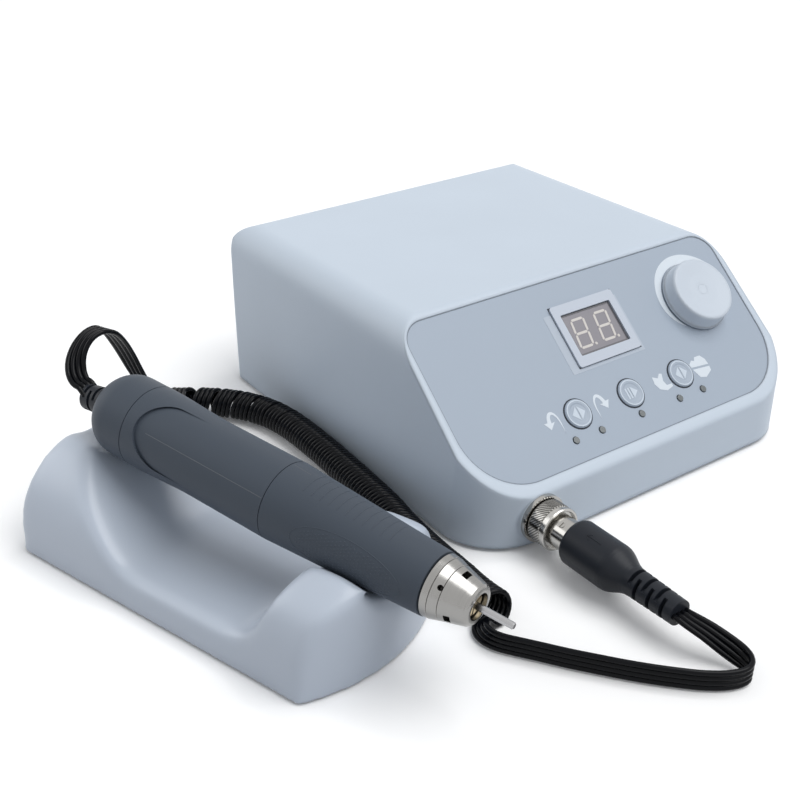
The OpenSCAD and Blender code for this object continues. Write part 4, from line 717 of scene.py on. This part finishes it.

# %% [markdown]
# ## The coupling ring
# The plug is held by a nut with a fine diamond knurl. Its section is drawn once as a line of points
# and spun round the plug's axis. The knurl is then real metal: on the band, every second point of
# every second ring is pushed inwards, which leaves a field of small pyramids. Each point also notes
# whether it is a peak, so that the finish can paint shade into the valleys.

# %% Finish of the knurl, with painted shade in its valleys
# The valleys get a near-black colour as painted shade; the peaks keep the metal's own tone.
VALLEY_PAINTED_SHADE = (0.035, 0.034, 0.03, 1)
knurl_nickel = turned("knurl_nickel", (0.50, 0.49, 0.47), 0.2, PLUG, lines=4000, strength=0.1)
tree = knurl_nickel.node_tree
shader = tree.nodes["Principled BSDF"]
metal_tone = shader.inputs["Base Color"].links[0].from_socket
peaks = tree.nodes.new("ShaderNodeAttribute")
peaks.attribute_name = "peak"
valley_shade = colour_mix(tree, VALLEY_PAINTED_SHADE, WHITE)
tree.links.new(peaks.outputs["Fac"], valley_shade.inputs["Factor"])
tree.links.new(metal_tone, valley_shade.inputs["B"])
tree.links.new(valley_shade.outputs["Result"], shader.inputs["Base Color"])
print("finish made:", knurl_nickel.name)

# %% Section of the ring, as radius and height in millimetres
KNURL_R, KNURL_LOW, KNURL_STEP, KNURL_ROWS = 8.6, 2.75, 0.6, 9
knurl = [(KNURL_R, KNURL_LOW + KNURL_STEP * k) for k in range(KNURL_ROWS)]
section = ([(6.25, 8.75), (7.4, 8.75), (7.4, 2.3), (8.3, 2.3)] + knurl
           + [(7.95, 7.85), (7.95, 8.5), (8.5, 8.8), (8.55, 10.3), (8.25, 10.7), (7.6, 10.7),
              (7.3, 10.4), (7.3, 9.5), (6.25, 9.5)])
ring = in_scene("knurled_ring", bpy.data.meshes.new("knurled_ring"))
count = len(section)
ring.data.from_pydata([(r * MM, 0, z * MM) for r, z in section],
                      [(k, (k + 1) % count) for k in range(count)], [])
print("points in the section:", count)

# %% Spin the ring and press in the knurl
SPIN_STEPS = 84
KNURL_EDGE, VALLEY_R = 8.55, 8.25
only(ring)
bpy.ops.object.mode_set(mode="EDIT")
bpy.ops.mesh.select_all(action="SELECT")
bpy.ops.mesh.spin(steps=SPIN_STEPS, angle=2 * math.pi, center=(0, 0, 0), axis=(0, 0, 1))
bpy.ops.mesh.select_all(action="SELECT")
bpy.ops.mesh.remove_doubles(threshold=0.000005)
bpy.ops.mesh.normals_make_consistent(inside=False)
bpy.ops.object.mode_set(mode="OBJECT")
pressed = 0
peak = ring.data.attributes.new("peak", "FLOAT", "POINT")
for vert in ring.data.vertices:
    peak.data[vert.index].value = 1
    radius = math.hypot(vert.co.x, vert.co.y) / MM
    row = round((vert.co.z / MM - KNURL_LOW) / KNURL_STEP)
    step = round(math.atan2(vert.co.y, vert.co.x) / (2 * math.pi) * SPIN_STEPS)
    if radius > KNURL_EDGE and (row + step) % 2:
        vert.co.x *= VALLEY_R / KNURL_R
        vert.co.y *= VALLEY_R / KNURL_R
        peak.data[vert.index].value = 0
        pressed += 1
ring.data.transform(PLUG)
bpy.ops.object.shade_smooth_by_angle(angle=math.radians(18))
wear(ring, knurl_nickel)
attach(ring, "ring")
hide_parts("coupling_ring")
print("knurl points pressed in:", pressed)

# %% [markdown]
# With its ring made, the plug is whole.

# %% [markdown]
# ## Prints on the panel
# The panel's film carries flat printed signs. Each sign is a closed outline in millimetres on the
# panel, so it is drawn as a flat filled curve with a hair of thickness, made a mesh, and then laid
# on the panel. A texture would do as well on screen, but an outline stays sharp at any distance.

# %% Helper: lay a flat sign on a surface
INK_THICK = 0.03


def flat_sign(name, outlines, frame_of, rise, ink, body):
    drawing = bpy.data.curves.new(name, "CURVE")
    drawing.dimensions = "2D"
    drawing.fill_mode = "BOTH"
    drawing.extrude = INK_THICK * MM
    for outline in outlines:
        line = drawing.splines.new("POLY")
        line.points.add(len(outline) - 1)
        for point, (u, v) in zip(line.points, outline):
            point.co = (u * MM, v * MM, 0, 1)
        line.use_cyclic_u = True
    sign = in_scene(name, drawing)
    only(sign)
    bpy.ops.object.convert(target="MESH")
    sign = bpy.context.object
    sign.data.transform(frame_of @ Matrix.Translation((0, 0, rise * MM)))
    wear(sign, ink)
    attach(sign, body)
    return sign


# %% Helpers: outlines on the panel
def polar(radius, angle):
    return radius * math.cos(angle), radius * math.sin(angle)


def moved(outline, u, v):
    return [(a + u, b + v) for a, b in outline]


def ring_line(u, v, radius, count=48):
    return moved([polar(radius, 2 * math.pi * k / count) for k in range(count)], u, v)


def box_line(low_u, low_v, high_u, high_v):
    return [(low_u, low_v), (high_u, low_v), (high_u, high_v), (low_u, high_v)]


# %% Pale field, shadow gap and painted shade along the window edge of the display
ON_FILM = 0.04
DISPLAY = (1, 47.7)
display_frames = [
    ("display_field", (-20.6, -15.1, 18.1, 10.8), (-15.5, -12.5, 15.5, 10.2), 0, pale_ink,
     "panel_film"),
    ("display_gap", (-16.65, -13.65, 17, 13.75), (-16.2, -13.2, 16.2, 13.2), 0.05, painted_gap_shadow,
     "panel_film"),
    ("window_edge", (-13, -9, 13, 9), (-12.3, -8.3, 12.3, 8.3), 0, window_edge_shade, "display_face")]
for name, outside, inside, lift, ink, slot in display_frames:
    outlines = [moved(box_line(*box), *DISPLAY) for box in (outside, inside)]
    flat_sign(name, outlines, PANEL, ON_FILM + lift, ink, "set")
print("frames round the display:", len(display_frames))

# %% [markdown]
# The digits are slim bars with pointed ends. One bar's outline is drawn, turned for the upright
# bars, and leant with its digit, seven times for each digit.

# %% Digits
DIGIT_W, DIGIT_H, BAR, LEAN = 7.4, 13.0, 1.05, math.tan(math.radians(8))
BAR_GAP = 0.18
POINT_OUT, POINT_R = 1.0, 0.62
DIGIT_APART, DIGIT_SHIFT, DIGIT_LIFT = 6.1, 0.6, 0.02


def digit_bar(u, v, length, across):
    half, reach = BAR / 2, length / 2 - BAR_GAP
    bar = [(-reach, 0), (half - reach, -half), (reach - half, -half), (reach, 0),
           (reach - half, half), (half - reach, half)]
    placed = [(u + a, v + b) if across else (u - b, v + a) for a, b in bar]
    return [(a + b * LEAN, b) for a, b in placed]


wide, tall = DIGIT_W - BAR, DIGIT_H - BAR
digit = [digit_bar(0, v, wide, True) for v in (-tall / 2, 0, tall / 2)]
digit += [digit_bar(u, v, tall / 2, False)
          for u in (-wide / 2, wide / 2) for v in (-tall / 4, tall / 4)]
digit.append(ring_line(DIGIT_W / 2 + POINT_OUT - tall / 2 * LEAN, -tall / 2, POINT_R, 12))
bars = [moved(bar, DISPLAY[0] + side * DIGIT_APART - DIGIT_SHIFT, DISPLAY[1])
        for side in (-1, 1) for bar in digit]
digits = flat_sign("display_digits", bars, PANEL, ON_FILM + DIGIT_LIFT, segment_skin, "set")
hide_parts("display_segments")
print("bars and points in the digits:", len(bars))

# %% [markdown]
# A band that widens clockwise shows how the knob raises the speed. Its outer edge is a slow spiral.

# %% Speed band round the knob
KNOB = (57, 46.5)
BAND_START, BAND_END, BAND_STEPS = 222, 2, 60
BAND_IN, BAND_OUT = 15.9, 16
BAND_SWELL, SWELL_END, BAND_GROWTH = 1.4, 0.2, 4.6
inner_edge, outer_edge = [], []
for k in range(BAND_STEPS + 1):
    share = k / BAND_STEPS
    angle = math.radians(BAND_START + (BAND_END - BAND_START) * share)
    swell = BAND_SWELL * math.sin(math.pi / 2 * min(1, share / SWELL_END))
    inner_edge.append(polar(BAND_IN, angle))
    outer_edge.append(polar(BAND_OUT + swell + BAND_GROWTH * share, angle))
band = moved(inner_edge + outer_edge[::-1], *KNOB)
flat_sign("speed_band", [band], PANEL, ON_FILM, white_ink, "set")
print("speed band drawn with", len(inner_edge), "steps")

# %% [markdown]
# Two curved arrows stand beside the direction button. One is drawn, as a band that swells towards
# its head, and the other is its mirror image.

# %% Curved arrows
ARROW_MIDDLE = (11.7, -1.2)
ARROW_START, ARROW_TURN, ARROW_STEPS = 205, 185, 14
ARROW_WIDE, ARROW_HIGH = 2.5, 5.2
TAIL_HIGH, TAIL_SHARE = 4.6, 0.14
TAIL_HALF, ARROW_SWELL = 0.15, 0.75
ARROW_TAIL = [(9.3, -5.2)]
ARROW_HEAD = [(16.6, 1.0), (14.6, -2.2), (11.6, 0.4)]


def curved_arrow(side):
    left_edge, right_edge = [], []
    for k in range(ARROW_STEPS + 1):
        share = k / ARROW_STEPS
        angle = math.radians(ARROW_START - ARROW_TURN * share)
        high = ARROW_HIGH if share > TAIL_SHARE else TAIL_HIGH
        u = ARROW_MIDDLE[0] + ARROW_WIDE * math.cos(angle)
        v = ARROW_MIDDLE[1] + high * math.sin(angle)
        out_u, out_v = polar(TAIL_HALF + ARROW_SWELL * share, angle)
        left_edge.append((u + out_u, v + out_v))
        right_edge.append((u - out_u, v - out_v))
    outline = ARROW_TAIL + left_edge[1:] + ARROW_HEAD + right_edge[:0:-1]
    return [(side * u, v) for u, v in outline][::side]


BUTTONS = {"button_direction": (-27, 18), "button_standby": (1, 18), "button_mode": (29, 18)}
for side, name in ((1, "forward_arrow"), (-1, "reverse_arrow")):
    arrow = moved(curved_arrow(side), *BUTTONS["button_direction"])
    flat_sign(name, [arrow], PANEL, ON_FILM, white_ink, "set")
print("arrows drawn")

# %% [markdown]
# Beside the mode button, a hand with a raised thumb stands for hand control, and a sole over a
# pedal plate for foot control. Both are plain outlines.

# %% Hand and foot signs
HAND_SIDE, FOOT_SIDE = (-10.9, -0.4), (11.3, -0.6)
hand = [(-3.4, 3.2), (-1.0, 2.0), (0.8, 3.6), (2.0, 3.2), (0.9, 0.2), (1.6, -1.9), (4.4, -2.0),
        (4.2, -3.2), (0.6, -4.0), (-2.6, -2.6), (-3.9, 0.2)]
sole = [(-4.6, 2.6), (-2.6, 4.0), (-1.2, 3.4), (-0.2, 4.9), (2.9, 4.8), (4.6, 2.6), (4.9, 0.2),
        (-4.3, 1.1)]
plate = [(-4.2, 0.2), (4.9, -0.7), (4.6, -2.6), (0.6, -4.6), (-2.4, -3.8)]
u, v = BUTTONS["button_mode"]
control_signs = [("hand_sign", [hand], HAND_SIDE), ("foot_sign", [sole, plate], FOOT_SIDE)]
for name, shapes, (side_u, side_v) in control_signs:
    outlines = [moved(shape, u + side_u, v + side_v) for shape in shapes]
    flat_sign(name, outlines, PANEL, ON_FILM, white_ink, "set")
print("hand and foot drawn")

# %% [markdown]
# Each button sits in a gap, with its shadow painted round it on the film as a dark ring, and
# carries a pale ring and a sign on its own cap, so these ride on the button and go in with it. The
# sign lies in the cap's shallow dish.

# %% Button rings and signs
CAP_RIM, CAP_DISH = 0.93, 0.72
GAP_RADII, RING_RADII = (6.45, 5.95), (5.45, 4.95)
pointer = [(-0.35, 2.9), (-0.35, -2.9), (-3.2, 0)]
pair = [pointer, [(-a, b) for a, b in pointer][::-1]]
pause = [box_line(-2.5, -2.3, -1.75, 2.3), box_line(-1.15, -2.3, -0.4, 2.3),
         [(0.2, 2.5), (0.2, -2.5), (3.2, 0)]]
for body, signs in (("button_direction", pair), ("button_standby", pause), ("button_mode", pair)):
    u, v = BUTTONS[body]
    gap_lines = [ring_line(u, v, r) for r in GAP_RADII]
    ring_lines = [ring_line(u, v, r) for r in RING_RADII]
    sign_lines = [moved(s, u, v) for s in signs]
    # The dark ring in the gap round the button is painted shadow.
    flat_sign(body + "_gap", gap_lines, PANEL, ON_FILM, painted_gap_shadow, "set")
    flat_sign(body + "_ring", ring_lines, PANEL, CAP_RIM, mark_ink, body)
    flat_sign(body + "_sign", sign_lines, PANEL, CAP_DISH, mark_ink, body)
print("buttons marked:", len(BUTTONS))

# %% [markdown]
# ## Edge of the panel
# The film lies in a shallow recess of the case, and the seam round it shows as a thin dark line.
# Its outline is four arcs: large ones at the lower corners and small ones at the upper corners.

# %% Seam round the film
FILM_X, FILM_H, LOW_R, HIGH_R = 81.5, 72.62, 25, 10
SEAM_OUT, SEAM_IN, ARC_STEP = 0.1, -0.2, 6
corners = [(-FILM_X + LOW_R, LOW_R, LOW_R, 180), (FILM_X - LOW_R, LOW_R, LOW_R, 270),
           (FILM_X - HIGH_R, FILM_H - HIGH_R, HIGH_R, 0),
           (-FILM_X + HIGH_R, FILM_H - HIGH_R, HIGH_R, 90)]


def film_line(offset):
    line = []
    for u, v, r, first in corners:
        arc = [polar(r + offset, math.radians(first + turn)) for turn in range(0, 91, ARC_STEP)]
        line += moved(arc, u, v)
    return line


seam = [film_line(SEAM_OUT), film_line(SEAM_IN)]
flat_sign("panel_seam", seam, PANEL, ON_FILM, seam_ink, "set")
print("seam drawn with", len(seam[0]), "points")


# %% Helper: a round bead along a line
def bead(name, line_points, thickness, closed=False):
    drawing = bpy.data.curves.new(name, "CURVE")
    drawing.dimensions = "3D"
    drawing.bevel_depth = thickness / 2 * MM
    drawing.bevel_resolution = 2
    drawing.use_fill_caps = True
    line = drawing.splines.new("POLY")
    line.points.add(len(line_points) - 1)
    for point, place in zip(line.points, line_points):
        point.co = (*place, 1)
    line.use_cyclic_u = closed
    only(in_scene(name, drawing))
    bpy.ops.object.convert(target="MESH")
    bpy.ops.object.shade_smooth()
    return bpy.context.object


# %% [markdown]
# The knob's dished face has a small round mark in its middle, which turns with the knob.

# %% Mark in the middle of the knob
MARK_R, MARK_RISE, MARK_THICK = 2.3, 6.99, 0.15
mark_line = [PANEL @ Vector(((KNOB[0] + u) * MM, (KNOB[1] + v) * MM, MARK_RISE * MM))
             for u, v in ring_line(0, 0, MARK_R)]
mark = bead("knob_mark", mark_line, MARK_THICK, closed=True)
wear(mark, knob_skin)
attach(mark, "knob")
print("knob marked")

# %% [markdown]
# ## Raised details
# The plug's boot carries a moulded arrow on its upper side, which points at the socket. Places
# round an axis are given by an angle in degrees, a distance along it and a radius. A detail of
# several beads is joined into one piece.


# %% Helpers: a place round an axis, and one piece from several
def around(axis_frame, angle, along, radius):
    u, v = polar(radius, math.radians(angle))
    return axis_frame @ Vector((u * MM, v * MM, along * MM))


def gather(name, parts, skin, body):
    bpy.ops.object.select_all(action="DESELECT")
    for part in parts:
        part.select_set(True)
    bpy.context.view_layer.objects.active = parts[0]
    if len(parts) > 1:
        bpy.ops.object.join()
    piece = bpy.context.object
    piece.name = name
    wear(piece, skin)
    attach(piece, body)
    return piece


# %% Arrow on the boot
BOOT_R, STROKE = 8.86, 0.32
shaft_points = [around(PLUG, 109, along, BOOT_R) for along in (33.5, 30, 26.5)]
barb_points = [around(PLUG, *place, BOOT_R) for place in ((101, 28.6), (109, 26.5), (117, 28.6))]
strokes = [bead("stroke", line, STROKE) for line in (shaft_points, barb_points)]
gather("boot_arrow", strokes, boot_skin, "set")
print("arrow on the boot drawn")

# %% [markdown]
# The handpiece's grip carries fine ribs on top and a dotted pad on each side for the fingers, and a
# thin moulding line runs along the motor case.

# %% Ribs on top of the grip
RIBS, RIB_START, RIB_STEP, RIB_THICK = 11, 74.5, 3.4, 0.34
RIB_MIDDLE, RIB_REACH, RIB_SINK = 88, 24, 0.05
ribs = []
for k in range(RIBS):
    along = RIB_START + RIB_STEP * k
    arc = [around(HAND, RIB_MIDDLE + RIB_REACH * j / 5, along, grip_radius(along) - RIB_SINK)
           for j in range(-5, 6)]
    ribs.append(bead("rib", arc, RIB_THICK))
gather("grip_ribs", ribs, grip_skin, "grip")
print("ribs:", len(ribs))

# %% [markdown]
# One dot of the pad is modelled as a small eight-sided dome: a circle that is extruded up, drawn in
# and closed by a poked cap. Copies of it stand square to the grip inside an oval.

# %% One dot
DOT_R, DOT_HIGH, DOT_TOP, DOT_CROWN = 0.36, 0.16, 0.6, 0.05
bpy.ops.object.select_all(action="DESELECT")
bpy.ops.mesh.primitive_circle_add(vertices=8, radius=DOT_R * MM, fill_type="NGON",
                                  location=(0, 0, 0))
dot = bpy.context.object
bpy.ops.object.mode_set(mode="EDIT")
bpy.ops.mesh.select_all(action="SELECT")
bpy.ops.mesh.extrude_region_move(TRANSFORM_OT_translate={"value": (0, 0, DOT_HIGH * MM)})
bpy.ops.transform.resize(value=(DOT_TOP, DOT_TOP, 1))
bpy.ops.mesh.poke(offset=DOT_CROWN * MM)
bpy.ops.mesh.select_all(action="SELECT")
bpy.ops.mesh.normals_make_consistent(inside=False)
bpy.ops.object.mode_set(mode="OBJECT")
print("faces in a dot:", len(dot.data.polygons))

# %% Pads of dots, each inside an oval line
PAD_ALONG, PAD_LONG, PAD_WIDE = 97.5, 21, 36
PAD_ROWS, ROW_STEP, LONG_MARGIN = 15, 1.3, 1.5
PAD_COLUMNS, COLUMN_STEP, WIDE_MARGIN = 6, 5.6, 5
GRIP_LEAN, DOT_SINK = 0.054, 0.06
OVAL_STEPS, OVAL_SINK, OVAL_THICK = 56, 0.08, 0.4


def stand_dot(angle, along):
    copy = in_scene("dot", dot.data.copy())
    out = HAND.to_3x3() @ Vector((*polar(1, math.radians(angle)), GRIP_LEAN))
    place = around(HAND, angle, along, grip_radius(along) - DOT_SINK)
    upright = out.to_track_quat("Z", "Y").to_matrix().to_4x4()
    copy.data.transform(Matrix.Translation(place) @ upright)
    return copy


def pad(name, middle_angle):
    dots, oval = [], []
    for row in range(-PAD_ROWS, PAD_ROWS + 1):
        for column in range(-PAD_COLUMNS, PAD_COLUMNS + 1):
            along = PAD_ALONG + ROW_STEP * row
            angle = middle_angle + COLUMN_STEP * (column + (row % 2) / 2)
            length_share = (along - PAD_ALONG) / (PAD_LONG - LONG_MARGIN)
            width_share = (angle - middle_angle) / (PAD_WIDE - WIDE_MARGIN)
            if length_share ** 2 + width_share ** 2 <= 1:
                dots.append(stand_dot(angle, along))
    for k in range(OVAL_STEPS):
        turn = 2 * math.pi * k / OVAL_STEPS
        along = PAD_ALONG + PAD_LONG * math.cos(turn)
        angle = middle_angle + PAD_WIDE * math.sin(turn)
        oval.append(around(HAND, angle, along, grip_radius(along) - OVAL_SINK))
    rim = bead("oval", oval, OVAL_THICK, closed=True)
    gather(name, dots + [rim], grip_skin, "grip")
    return len(dots)


print("dots on the pads:", pad("left_pad", 177), pad("right_pad", -7))
bpy.data.objects.remove(dot)

# %% [markdown]
# The moulding line of the motor case is a hair of flash, a little paler than the soft coat.

# %% Moulding lines
CASE_LINE, CASE_LINE_R, CASE_LINE_THICK = 147, 14.05, 0.22
GRIP_LINE, GRIP_LINE_SINK, GRIP_LINE_THICK = 81, 0.05, 0.2
case_points = [around(HAND, CASE_LINE, 10 + 53 * k / 10, CASE_LINE_R) for k in range(11)]
grip_places = [64.6 + 7 * k / 4 for k in range(5)]
grip_points = [around(HAND, GRIP_LINE, along, grip_radius(along) - GRIP_LINE_SINK)
               for along in grip_places]
case_line = bead("line", case_points, CASE_LINE_THICK)
gather("case_moulding_line", [case_line], line_skin, "handpiece")
grip_line = bead("line", grip_points, GRIP_LINE_THICK)
gather("grip_moulding_line", [grip_line], line_skin, "grip")
print("moulding lines drawn")
